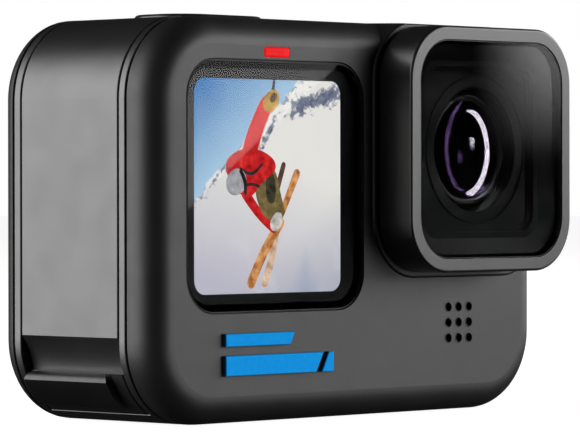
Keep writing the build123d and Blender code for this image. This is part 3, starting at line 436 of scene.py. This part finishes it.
def net_tree():
    """A net of fine round wires in the XY plane."""
    t = Tree("net", Width=0.008, Height=0.008, Columns=20, Rows=20, Wire=0.00005)
    g = t.given
    grid = t.node(
        "MeshGrid",
        {"Size X": g["Width"], "Size Y": g["Height"], "Vertices X": g["Columns"], "Vertices Y": g["Rows"]},
    )
    wires = t.node("MeshToCurve", {"Mesh": grid})
    wire = t.node("CurvePrimitiveCircle", {"Resolution": 6, "Radius": g["Wire"]})
    return t.finish(t.node("CurveToMesh", {"Curve": wires, "Profile Curve": wire}))


def blade_wheel_tree():
    """Overlapping iris blades round the Y axis."""
    t = Tree("blade_wheel", Count=7, Hole_Radius=0.0016, Blade=0.0042)
    g = t.given
    spin = t.math("DIVIDE", math.tau, g["Count"])
    reach = t.math("ADD", g["Hole Radius"], t.math("MULTIPLY", g["Blade"], 0.5))
    circle = t.node("MeshCircle", {"Vertices": g["Count"], "Radius": reach})
    blade = t.node("MeshCube", {"Size": t.vector(g["Blade"], t.math("MULTIPLY", g["Blade"], 1.5), 0.00006)})
    turn = t.vector(z=t.math("MULTIPLY", t.node("InputIndex"), spin))
    tilt = t.node("Transform", {"Geometry": blade, "Rotation": (0, 0.04, 0.35)})
    blades = t.node("InstanceOnPoints", {"Points": circle, "Instance": tilt, "Rotation": turn})
    return t.finish(t.node("Transform", {"Geometry": blades, "Rotation": (math.pi / 2, 0, 0)}))


def placed(mesh, at, turn=None):
    """The mesh moved to its place, so that its object can stay at the origin."""
    mesh.transform(Matrix.Translation(at) @ (turn or Matrix.Identity(4)))
    mesh.update()
    return mesh


# --- Lens and hole details ------------------------------------------------------------------
def middle(node):
    low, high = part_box(node)
    return (low + high) / 2


def add_lens_details():
    low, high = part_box("front_element")
    axis = Vector(((low.x + high.x) / 2, 0, (low.z + high.z) / 2))
    metal = FINISHES["lens_metal"]
    ridges = ridge_stack_tree()
    barrel_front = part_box("lens_barrel")[0].y
    stacks = {
        "barrel_rim_ridges": (3, 6.95, 6.55, barrel_front - 0.02 * MM, 0.2, 0.05),
        "barrel_inner_ridges": (7, 6.3, 5.3, barrel_front + 2.2 * MM, 0.45, 0.05),
        "mount_inner_ridges": (5, 8.12, 8.12, barrel_front - 0.45 * MM, 1.6, 0.07),
    }
    for name, (count, front, back, y, depth, wire) in stacks.items():
        values = {
            "Count": count,
            "Front Radius": front * MM,
            "Back Radius": back * MM,
            "Depth": depth * MM,
            "Wire": wire * MM,
        }
        mesh = grow(name, ridges, values, metal)
        make_piece(name, placed(mesh, axis + Vector((0, y, 0))), "camera_body")
    iris = grow("iris_blades", blade_wheel_tree(), {"Count": 7}, metal)
    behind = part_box("middle_element")[1].y + 0.5 * MM
    make_piece("iris_blades", placed(iris, axis + Vector((0, behind, 0))), "camera_body")


def add_hole_details():
    skin = FINISHES["casing"]
    low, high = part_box("microphone_membrane")
    centre = (low + high) / 2
    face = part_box("front_screen_glass")[0].y - 0.05 * MM
    rims = grow("microphone_rims", ring_grid_tree(), {"Pitch": 2.02 * MM, "Ring Radius": 0.62 * MM}, skin)
    at = Vector((centre.x, face, centre.z))
    make_piece("microphone_rims", placed(rims, at), "camera_body")
    net = net_tree()
    upright = Matrix.Rotation(math.pi / 2, 4, "X")
    values = {"Width": 5.4 * MM, "Height": 5.4 * MM, "Columns": 24, "Rows": 24, "Wire": 0.04 * MM}
    mesh = grow("microphone_net", net, values, FINISHES["mesh"])
    at = Vector((centre.x, low.y - 0.06 * MM, centre.z))
    make_piece("microphone_net", placed(mesh, at, upright), "camera_body")
    low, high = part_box("speaker_mesh")
    sideways = Matrix.Rotation(math.pi / 2, 4, "Y")
    values = {"Width": high.z - low.z, "Height": high.y - low.y, "Columns": 22, "Rows": 26, "Wire": 0.05 * MM}
    mesh = grow("speaker_net", net, values, FINISHES["mesh"])
    at = Vector((high.x + 0.08 * MM, (low.y + high.y) / 2, (low.z + high.z) / 2))
    make_piece("speaker_net", placed(mesh, at, sideways), "camera_body")


# --- Pictures on the screens ----------------------------------------------------------------
SCREEN_GLOW = 0.9
LAYER_GAP = 0.004 * MM  # between one shape of a picture and the next in front of it


def lit(name, dark, light):
    """A colour on a lit screen, cloudy between two tones. Its pattern lies on the piece's UV map."""
    glow = Finish(name, (0, 0, 0), 0.6, Emission_Strength=SCREEN_GLOW, Specular_IOR_Level=0.0)
    cloud = glow.node("TexNoise", Scale=20.0, Detail=4.0, Roughness=0.6)
    glow.link(glow.node("UVMap").outputs["UV"], cloud.inputs["Vector"])
    tone = glow.blend_colors(cloud.outputs["Fac"], dark, light, 0.35, 0.65)
    glow.link(tone, glow.shader.inputs["Emission Color"])
    return glow.material


def mountain_view():
    """Lit picture of a snow slope under a blue sky, worked out from the UV map."""
    view = Finish("lit_mountain_view", (0, 0, 0), 0.6, Emission_Strength=SCREEN_GLOW, Specular_IOR_Level=0.0)
    flat = view.node("UVMap").outputs["UV"]
    split = view.node("SeparateXYZ")
    view.link(flat, split.inputs[0])
    across, height = split.outputs["X"], split.outputs["Y"]

    def math_node(operation, a, b=0.0):
        made = view.node("Math", operation=operation)
        for socket, value in ((0, a), (1, b)):
            if hasattr(value, "is_output"):
                view.link(value, made.inputs[socket])
            else:
                made.inputs[socket].default_value = value
        return made.outputs[0]

    def cloud(size, detail=5.0, rough=0.6):
        made = view.node("TexNoise", Scale=1 / size, Detail=detail, Roughness=rough)
        view.link(flat, made.inputs["Vector"])
        return made.outputs["Fac"]

    ripple = math_node("MULTIPLY", math_node("SUBTRACT", cloud(0.16), 0.5), 0.16)
    bend = math_node("MULTIPLY", math_node("MULTIPLY", across, across), -0.12)
    ridge = math_node("ADD", math_node("ADD", math_node("MULTIPLY", across, 0.88), 0.43), bend)
    above = math_node("ADD", math_node("SUBTRACT", height, ridge), ripple)
    sky = view.blend_colors(above, (0.36, 0.58, 0.78), (0.03, 0.19, 0.5), 0.0, 0.5)
    snow_shade = math_node("ADD", height, math_node("MULTIPLY", across, 0.25))
    snow = view.blend_colors(snow_shade, (0.56, 0.55, 0.65), (0.9, 0.89, 0.85), 0.1, 0.75)
    hollow = math_node("SUBTRACT", math_node("MULTIPLY", across, 0.7), height)
    snow = view.blend_colors(hollow, snow, (0.4, 0.43, 0.53), 0.2, 0.9)
    trough = math_node("ABSOLUTE", math_node("SUBTRACT", across, 0.75))
    trough = math_node("ADD", trough, math_node("MULTIPLY", height, 0.6))
    snow = view.blend_colors(trough, (0.4, 0.45, 0.58), snow, 0.0, 0.14)
    snow = view.blend_colors(cloud(0.3), snow, (0.8, 0.8, 0.83), 0.5, 0.9)
    snow = view.blend_colors(cloud(0.012, 3.0, 0.8), snow, (0.92, 0.92, 0.93), 0.66, 0.8)
    rock = view.blend_colors(cloud(0.025), (0.035, 0.05, 0.11), (0.3, 0.33, 0.44))
    # Dark crag in the upper right corner, along a line that climbs to the right.
    crag = math_node("SUBTRACT", height, math_node("ADD", math_node("MULTIPLY", across, 0.25), 0.7))
    band = math_node("SUBTRACT", 0.062, math_node("ABSOLUTE", crag))
    eastern = math_node("MULTIPLY", math_node("SUBTRACT", across, 0.6), 1.1)
    inside = math_node("MINIMUM", math_node("MULTIPLY", band, 2.2), eastern)
    patches = math_node("ADD", math_node("MULTIPLY", cloud(0.05, 6.0, 0.75), 0.5), inside)
    slope = view.blend_colors(patches, snow, rock, 0.29, 0.33)
    # Thin outcrop that runs down steeply beside the skier's arm.
    lean = math_node("MULTIPLY", math_node("SUBTRACT", height, 0.84), 0.74)
    aside = math_node("SUBTRACT", math_node("SUBTRACT", across, 0.565), lean)
    vein = math_node("SUBTRACT", 0.025, math_node("ABSOLUTE", aside))
    ends = math_node("SUBTRACT", 0.1, math_node("ABSOLUTE", math_node("SUBTRACT", height, 0.76)))
    vein = math_node("MINIMUM", math_node("MULTIPLY", vein, 6.0), ends)
    outcrop = math_node("ADD", math_node("MULTIPLY", cloud(0.03, 6.0, 0.75), 0.5), vein)
    slope = view.blend_colors(outcrop, slope, rock, 0.27, 0.32)
    near_ridge = math_node("ADD", math_node("MULTIPLY", above, 2.2), cloud(0.04, 6.0, 0.75))
    slope = view.blend_colors(near_ridge, slope, rock, 0.47, 0.53)
    picture = view.blend_colors(above, slope, sky, -0.004, 0.004)
    view.link(picture, view.shader.inputs["Emission Color"])
    return view.material


def smooth_outline(points, rounds=3):
    """Rounds a closed outline by cutting its corners a few times."""
    for _ in range(rounds):
        cut = []
        for a, b in zip(points, points[1:] + points[:1]):
            cut.append((a[0] * 0.75 + b[0] * 0.25, a[1] * 0.75 + b[1] * 0.25))
            cut.append((a[0] * 0.25 + b[0] * 0.75, a[1] * 0.25 + b[1] * 0.75))
        points = cut
    return points


def stroke(start, end, width_start, width_end, bow=0.0):
    """Outline of a limb or a ski: a tapered bar with round ends, bowed sideways."""
    a, b = Vector(start), Vector(end)
    along = (b - a).normalized()
    side = Vector((-along.y, along.x))
    left, right = [], []
    steps = 8
    for i in range(steps + 1):
        share = i / steps
        at = a.lerp(b, share) + side * bow * math.sin(math.pi * share)
        half = (width_start * (1 - share) + width_end * share) / 2
        left.append(at + side * half)
        right.append(at - side * half)
    cap_end = [b + (side * math.cos(t) + along * math.sin(t)) * width_end / 2 for t in (0.8, 1.57, 2.34)]
    cap_start = [a + (-side * math.cos(t) - along * math.sin(t)) * width_start / 2 for t in (0.8, 1.57, 2.34)]
    return [tuple(p) for p in left + cap_end + right[::-1] + cap_start]


def oval(x, y, rx, ry, turn=0.0, count=28):
    c, s = math.cos(turn), math.sin(turn)
    ring = [(rx * math.cos(i * math.tau / count), ry * math.sin(i * math.tau / count)) for i in range(count)]
    return [(x + c * u - s * v, y + s * u + c * v) for u, v in ring]


# Outlines of the skier's clothes, in shares of the picture's height.
TROUSERS = [(0.44, 0.61), (0.56, 0.6), (0.6, 0.46), (0.64, 0.36), (0.54, 0.33), (0.47, 0.37), (0.42, 0.48)]
JACKET = [(0.21, 0.6), (0.3, 0.67), (0.44, 0.68), (0.56, 0.63), (0.57, 0.57), (0.47, 0.52), (0.4, 0.44),
          (0.3, 0.47)]
SHOULDER = [(0.33, 0.62), (0.36, 0.55), (0.42, 0.55), (0.45, 0.65), (0.44, 0.72), (0.38, 0.7)]


def skier():
    """A skier upside down in a jump, as (outline, colour name) pairs from back to front."""
    return [
        (stroke((0.55, 0.42), (0.62, 0.6), 0.035, 0.03), "dark_ski"),
        (stroke((0.6, 0.36), (0.71, 0.56), 0.035, 0.045), "ski"),
        (stroke((0.57, 0.3), (0.49, 0.05), 0.04, 0.045, 0.012), "pale_ski"),
        (stroke((0.6, 0.33), (0.4, 0.05), 0.05, 0.055, -0.012), "ski"),
        (stroke((0.36, 0.47), (0.55, 0.3), 0.055, 0.04, -0.01), "jacket"),
        (smooth_outline(TROUSERS), "trousers"),
        (smooth_outline([(0.5, 0.58), (0.56, 0.56), (0.57, 0.42), (0.5, 0.42)]), "trousers_dark"),
        (oval(0.57, 0.335, 0.05, 0.035, 0.9), "boot"),
        (smooth_outline(JACKET), "jacket"),
        (stroke((0.37, 0.6), (0.5, 0.88), 0.105, 0.085, 0.012), "jacket_bright"),
        (smooth_outline(SHOULDER), "jacket"),
        (stroke((0.33, 0.58), (0.47, 0.6), 0.018, 0.016, -0.03), "strap"),
        (stroke((0.35, 0.5), (0.45, 0.5), 0.014, 0.014, 0.01), "strap"),
        (stroke((0.54, 0.9), (0.555, 1.0), 0.022, 0.016), "strap"),
        (oval(0.535, 0.9, 0.062, 0.045, 0.7), "glove"),
        (oval(0.55, 0.915, 0.028, 0.02, 0.7), "glove_dark"),
        (oval(0.3, 0.52, 0.07, 0.06, 0.5), "helmet"),
        (stroke((0.33, 0.57), (0.36, 0.47), 0.022, 0.022, 0.012), "strap"),
    ]


PICTURE_TONES = {
    "jacket": ((0.38, 0.008, 0.012), (0.78, 0.03, 0.03)),
    "jacket_bright": ((0.66, 0.02, 0.025), (0.84, 0.06, 0.055)),
    "trousers": ((0.1, 0.075, 0.03), (0.26, 0.2, 0.08)),
    "trousers_dark": ((0.02, 0.02, 0.015), (0.08, 0.07, 0.04)),
    "boot": ((0.3, 0.28, 0.25), (0.8, 0.78, 0.74)),
    "ski": ((0.36, 0.12, 0.03), (0.86, 0.42, 0.16)),
    "pale_ski": ((0.5, 0.3, 0.18), (0.9, 0.68, 0.5)),
    "dark_ski": ((0.05, 0.025, 0.02), (0.16, 0.08, 0.06)),
    "glove": ((0.36, 0.19, 0.02), (0.75, 0.45, 0.08)),
    "glove_dark": ((0.04, 0.03, 0.02), (0.2, 0.13, 0.05)),
    "helmet": ((0.26, 0.27, 0.29), (0.5, 0.51, 0.53)),
    "strap": ((0.01, 0.01, 0.015), (0.05, 0.04, 0.05)),
}


def rounded_plate(width, height, radius, steps=10):
    """Outline of a rounded rectangle with its lower left corner at (0, 0)."""
    corners = [(width - radius, radius, -90), (width - radius, height - radius, 0),
               (radius, height - radius, 90), (radius, radius, 180)]
    outline = []
    for x, y, start in corners:
        for i in range(steps + 1):
            turn = math.radians(start + 90 * i / steps)
            outline.append((x + radius * math.cos(turn), y + radius * math.sin(turn)))
    return outline


def screen_picture(name, origin, across, width, height, radius, figure_at):
    """A lit picture: the backdrop, and the skier's shapes each a hair in front of the one behind."""
    up = Vector((0, 0, 1))
    out = across.cross(up)
    unit = height
    layers = [([(x / unit, y / unit) for x, y in rounded_plate(width, height, radius)], "view")]
    layers += [([(x + figure_at, y) for x, y in shape], tone) for shape, tone in skier()]
    materials = {"view": mountain_view()}
    for tone, (dark, light) in PICTURE_TONES.items():
        known = bpy.data.materials.get("lit_" + tone)
        materials[tone] = known or lit("lit_" + tone, dark, light)
    order = list(materials)
    vertices, faces, slots, flat = [], [], [], []
    for level, (shape, tone) in enumerate(layers):
        first = len(vertices)
        for x, y in shape:
            vertices.append(origin + across * (x * unit) + up * (y * unit) + out * (level * LAYER_GAP))
            flat.append((x, y))
        faces.append(list(range(first, len(vertices))))
        slots.append(order.index(tone))
    mesh = bpy.data.meshes.new(name)
    mesh.from_pydata(vertices, [], faces)
    for tone in order:
        mesh.materials.append(materials[tone])
    for face, slot in zip(mesh.polygons, slots):
        face.material_index = slot
        if face.normal.dot(out) < 0:
            face.flip()
    uv = mesh.uv_layers.new(name="UVMap")
    for loop in mesh.loops:
        uv.data[loop.index].uv = flat[loop.vertex_index]
    mesh.update()
    return make_piece(name, mesh, "camera_body")


def border_print(name, glass, y, hole, radius):
    """Black printed border on the back of a screen's glass, with its window open."""
    low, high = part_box(glass)
    inset = 0.08 * MM
    wide, tall = high.x - low.x - 2 * inset, high.z - low.z - 2 * inset
    outer = [(low.x + inset + a, low.z + inset + b) for a, b in rounded_plate(wide, tall, 4.5 * MM, 12)]
    x0, x1, z0, z1 = hole
    inner = [(x0 + a, z0 + b) for a, b in rounded_plate(x1 - x0, z1 - z0, radius, 12)]
    count = len(outer)
    vertices = [(a, y, b) for a, b in outer + inner]
    faces = [(i, (i + 1) % count, count + (i + 1) % count, count + i) for i in range(count)]
    mesh = bpy.data.meshes.new(name)
    mesh.from_pydata(vertices, [], faces)
    mesh.materials.append(FINISHES["display"])
    mesh.update()
    return make_piece(name, mesh, "camera_body")


def edge_highlight_band(name, glass, body, radius, width):
    """Narrow pale band on the bevel round the front of a glass: a painted highlight."""
    low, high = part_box(glass)
    rings = []
    for inset, lift in ((0.01 * MM, width), (0.5 * width, 0.5 * width), (width, 0.0)):
        plate = rounded_plate(high.x - low.x - 2 * inset, high.z - low.z - 2 * inset, radius - inset, 14)
        rings.append([(low.x + inset + a, low.y + lift - 0.012 * MM, low.z + inset + b) for a, b in plate])
    count = len(rings[0])
    faces = []
    for level in range(2):
        for i in range(count):
            j = (i + 1) % count
            a, b = level * count, (level + 1) * count
            faces.append((a + i, b + i, b + j, a + j))
    mesh = bpy.data.meshes.new(name)
    mesh.from_pydata([point for ring in rings for point in ring], [], faces)
    mesh.materials.append(EDGE_HIGHLIGHT_FINISH)
    for face in mesh.polygons:
        if face.normal.y > 0:
            face.flip()
    mesh.update()
    return make_piece(name, mesh, body)


def add_screens():
    low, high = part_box("front_screen_glass")
    left, right, foot, head = 2.05 * MM, 3.35 * MM, 2.27 * MM, 2.3 * MM
    window = (low.x + left, high.x - right, low.z + foot, high.z - head)
    behind = high.y + 0.02 * MM
    border_print("front_border_print", "front_screen_glass", behind, window, 1.8 * MM)
    origin = Vector((window[0] - 0.05 * MM, behind + 0.1 * MM, window[2] - 0.05 * MM))
    width, height = window[1] - window[0] + 0.1 * MM, window[3] - window[2] + 0.1 * MM
    screen_picture("front_picture", origin, Vector((1, 0, 0)), width, height, 1.6 * MM, -0.02)
    # Pale bands on the bevels of the screen glass and the cover glass: painted highlights.
    edge_highlight_band("front_glass_edge", "front_screen_glass", "camera_body", 4.6 * MM, 0.16 * MM)
    edge_highlight_band("cover_glass_edge", "lens_cover_glass", "lens_cover", 5.34 * MM, 0.14 * MM)
    low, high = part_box("rear_touch_glass")
    half_wide, half_tall = 25.4 * MM, 14.3 * MM
    centre = (low + high) / 2
    behind = low.y - 0.015 * MM
    window = (centre.x - half_wide, centre.x + half_wide, centre.z - half_tall, centre.z + half_tall)
    border_print("rear_border_print", "rear_touch_glass", behind, window, 1.2 * MM)
    origin = Vector((window[1], behind - 0.02 * MM, window[2]))
    screen_picture("rear_picture", origin, Vector((-1, 0, 0)), 2 * half_wide, 2 * half_tall, 1.0 * MM, 0.35)


# --- Studio ---------------------------------------------------------------------------------
LENS_VIEW = math.radians(49.7)  # turn at which the front glasses mirror the view


def toward(turn, rise, distance=1.0):
    """A point that far off, turned from straight in front of the lens side towards its right."""
    t, e = math.radians(turn), math.radians(rise)
    flat = distance * math.cos(e)
    return Vector((flat * math.sin(t), -flat * math.cos(t), distance * math.sin(e)))


def stage_piece(name, mesh, material, seen=True):
    """A piece of the studio; unless it is seen, only its light reaches the object."""
    mesh.materials.append(material)
    piece = bpy.data.objects.new(name, mesh)
    bpy.context.scene.collection.objects.link(piece)
    piece.visible_camera = seen
    piece.visible_shadow = False
    return piece


def softbox(name, turns, rises, radiance, distance=1.2, fades=(0, 0, 0, 0), lean=0.0, pivot=(0, 0)):
    """An evenly lit panel between two turns and two rises, dimming towards its edges.

    Fades are the shares of its width and height over which it dims: left, right, foot, head.
    A leaning panel is rolled by that many degrees about the pivot, and its sides count from there.
    """
    mesh = bpy.data.meshes.new(name)
    corners, flat = [], []
    steps = 12
    roll = Matrix.Rotation(math.radians(lean), 2)
    for i in range(steps + 1):
        share = i / steps
        for height, rise in enumerate(rises):
            turn, lift = roll @ Vector((turns[0] + (turns[1] - turns[0]) * share, rise)) + Vector(pivot)
            corners.append(toward(turn, lift, distance) + EYE_HEIGHT)
            flat.append((share, height))
    mesh.from_pydata(corners, [], [(2 * i, 2 * i + 1, 2 * i + 3, 2 * i + 2) for i in range(steps)])
    uv = mesh.uv_layers.new(name="UVMap")
    for loop in mesh.loops:
        uv.data[loop.index].uv = flat[loop.vertex_index]
    glow = Finish(name + "_glow", (0, 0, 0), 1.0, Specular_IOR_Level=0.0)
    split = glow.node("SeparateXYZ")
    glow.link(glow.node("UVMap").outputs["UV"], split.inputs[0])
    left, right, foot, head = fades
    strength = None
    for axis, start, end in (("X", 0, left), ("X", 1, 1 - right), ("Y", 0, foot), ("Y", 1, 1 - head)):
        if start == end:
            continue
        ramp = glow.node("MapRange", interpolation_type="SMOOTHSTEP", From_Min=start, From_Max=end)
        glow.link(split.outputs[axis], ramp.inputs["Value"])
        part = ramp.outputs["Result"]
        if strength is not None:
            both = glow.node("Math", operation="MULTIPLY")
            glow.link(strength, both.inputs[0])
            glow.link(part, both.inputs[1])
            part = both.outputs[0]
        strength = part
    glow.shader.inputs["Emission Color"].default_value = (1, 1, 1, 1)
    glow.shader.inputs["Emission Strength"].default_value = radiance
    if strength is not None:
        level = glow.node("Math", operation="MULTIPLY")
        glow.link(strength, level.inputs[0])
        level.inputs[1].default_value = radiance
        glow.link(level.outputs[0], glow.shader.inputs["Emission Strength"])
    return stage_piece(name, mesh, glow.material, seen=False)


def link_to(light, nodes, state):
    """INCLUDE: the light reaches only these nodes. EXCLUDE: it reaches all the rest."""
    group = bpy.data.collections.new(light.name + "_" + state.lower())
    for node in nodes:
        group.objects.link(frame["nodes"][node])
    for entry in group.collection_objects:
        entry.light_linking.link_state = state
    light.light_linking.receiver_collection = group


def arc_light(name, radius, width, spread, radiance, distance=0.4):
    """A slim bowed light on the lens's right, that only the lens and its cover glass mirror."""
    axis = toward(math.degrees(LENS_VIEW), 0)
    side = Vector((axis.y, -axis.x, 0)) * -1
    centre = Vector(middle("front_element"))
    mesh = bpy.data.meshes.new(name)
    steps = 48
    vertices = []
    for i in range(steps + 1):
        share = 2 * i / steps - 1
        around = math.radians(spread) * share
        half = width / 2 * (1 - share * share) + 0.1
        out = side * math.cos(around) + Vector((0, 0, math.sin(around)))
        for reach in (radius - half, radius + half):
            r = math.radians(reach)
            vertices.append(centre + (axis * math.cos(r) + out * math.sin(r)) * distance)
    mesh.from_pydata(vertices, [], [(2 * i, 2 * i + 1, 2 * i + 3, 2 * i + 2) for i in range(steps)])
    glow = Finish(name + "_glow", (0, 0, 0), 1.0, Specular_IOR_Level=0.0)
    glow.shader.inputs["Emission Color"].default_value = (1, 0.96, 1, 1)
    glow.shader.inputs["Emission Strength"].default_value = radiance
    light = stage_piece(name, mesh, glow.material, seen=False)
    link_to(light, ("lens_cover_glass", "front_element", "middle_element", "rear_element"), "INCLUDE")


def floor_and_backdrop():
    """Pale floor and surroundings that throw hardly any light back at the object."""
    world = bpy.data.worlds.new("studio")
    world.use_nodes = True
    nodes, links = world.node_tree.nodes, world.node_tree.links
    nodes.clear()
    pale, dim = nodes.new("ShaderNodeBackground"), nodes.new("ShaderNodeBackground")
    pale.inputs["Color"].default_value = (1, 1, 1, 1)
    dim.inputs["Color"].default_value = (0.012, 0.012, 0.012, 1)
    choose, ray = nodes.new("ShaderNodeMixShader"), nodes.new("ShaderNodeLightPath")
    links.new(ray.outputs["Is Camera Ray"], choose.inputs["Fac"])
    links.new(dim.outputs[0], choose.inputs[1])
    links.new(pale.outputs[0], choose.inputs[2])
    links.new(choose.outputs[0], nodes.new("ShaderNodeOutputWorld").inputs["Surface"])
    bpy.context.scene.world = world
    reach = 3.0
    mesh = bpy.data.meshes.new("floor")
    corners = [(-reach, -reach, 0), (reach, -reach, 0), (reach, reach, 0), (-reach, reach, 0)]
    mesh.from_pydata(corners, [], [(0, 1, 2, 3)])
    paint = Finish("pale_floor", (0.3, 0.3, 0.3), 0.9, Specular_IOR_Level=0.0, Emission_Strength=0.93)
    paint.shader.inputs["Emission Color"].default_value = (1, 1, 1, 1)
    floor = stage_piece("floor", mesh, paint.material)
    floor.visible_glossy = floor.visible_diffuse = floor.visible_transmission = False


def make_studio():
    floor_and_backdrop()
    panels = [
        softbox("left_softbox", (-160, -72), (-14, 52), 5.2, fades=(0.1, 0.5, 0.1, 0.55)),
        softbox("front_softbox", (-30, 12), (0, 26), 4.7, fades=(0.1, 0.2, 0, 0.2), lean=44,
                pivot=(46.1, 2.0)),
        softbox("low_front_softbox", (2, 42), (-22, -6), 3.6, fades=(0.2, 0.1, 0.4, 0.1)),
        softbox("right_softbox", (49.1, 100), (0.45, 26), 8.6, fades=(0.044, 0.3, 0.14, 0.3)),
    ]
    for panel in panels:
        link_to(panel, ("lens_cover_glass", "front_element"), "EXCLUDE")
    # The cover's glass, and what is seen through it, have two panels of their own.
    for panel in (
        softbox("glass_softbox", (49.1, 53.3), (0.45, 4.7), 9.5, 1.15, fades=(0.52, 0, 0.85, 0)),
        softbox("well_softbox", (0, 62), (34, 64), 42.0, 1.1, fades=(0.2, 0.2, 0.2, 0.2)),
    ):
        link_to(panel, ("lens_cover_glass",), "INCLUDE")
    arc_light("arc_light", 13.6, 3.8, 88.0, 11.0)


make_camera()
dress_nodes()
add_lens_details()
add_hole_details()
add_screens()
make_studio()
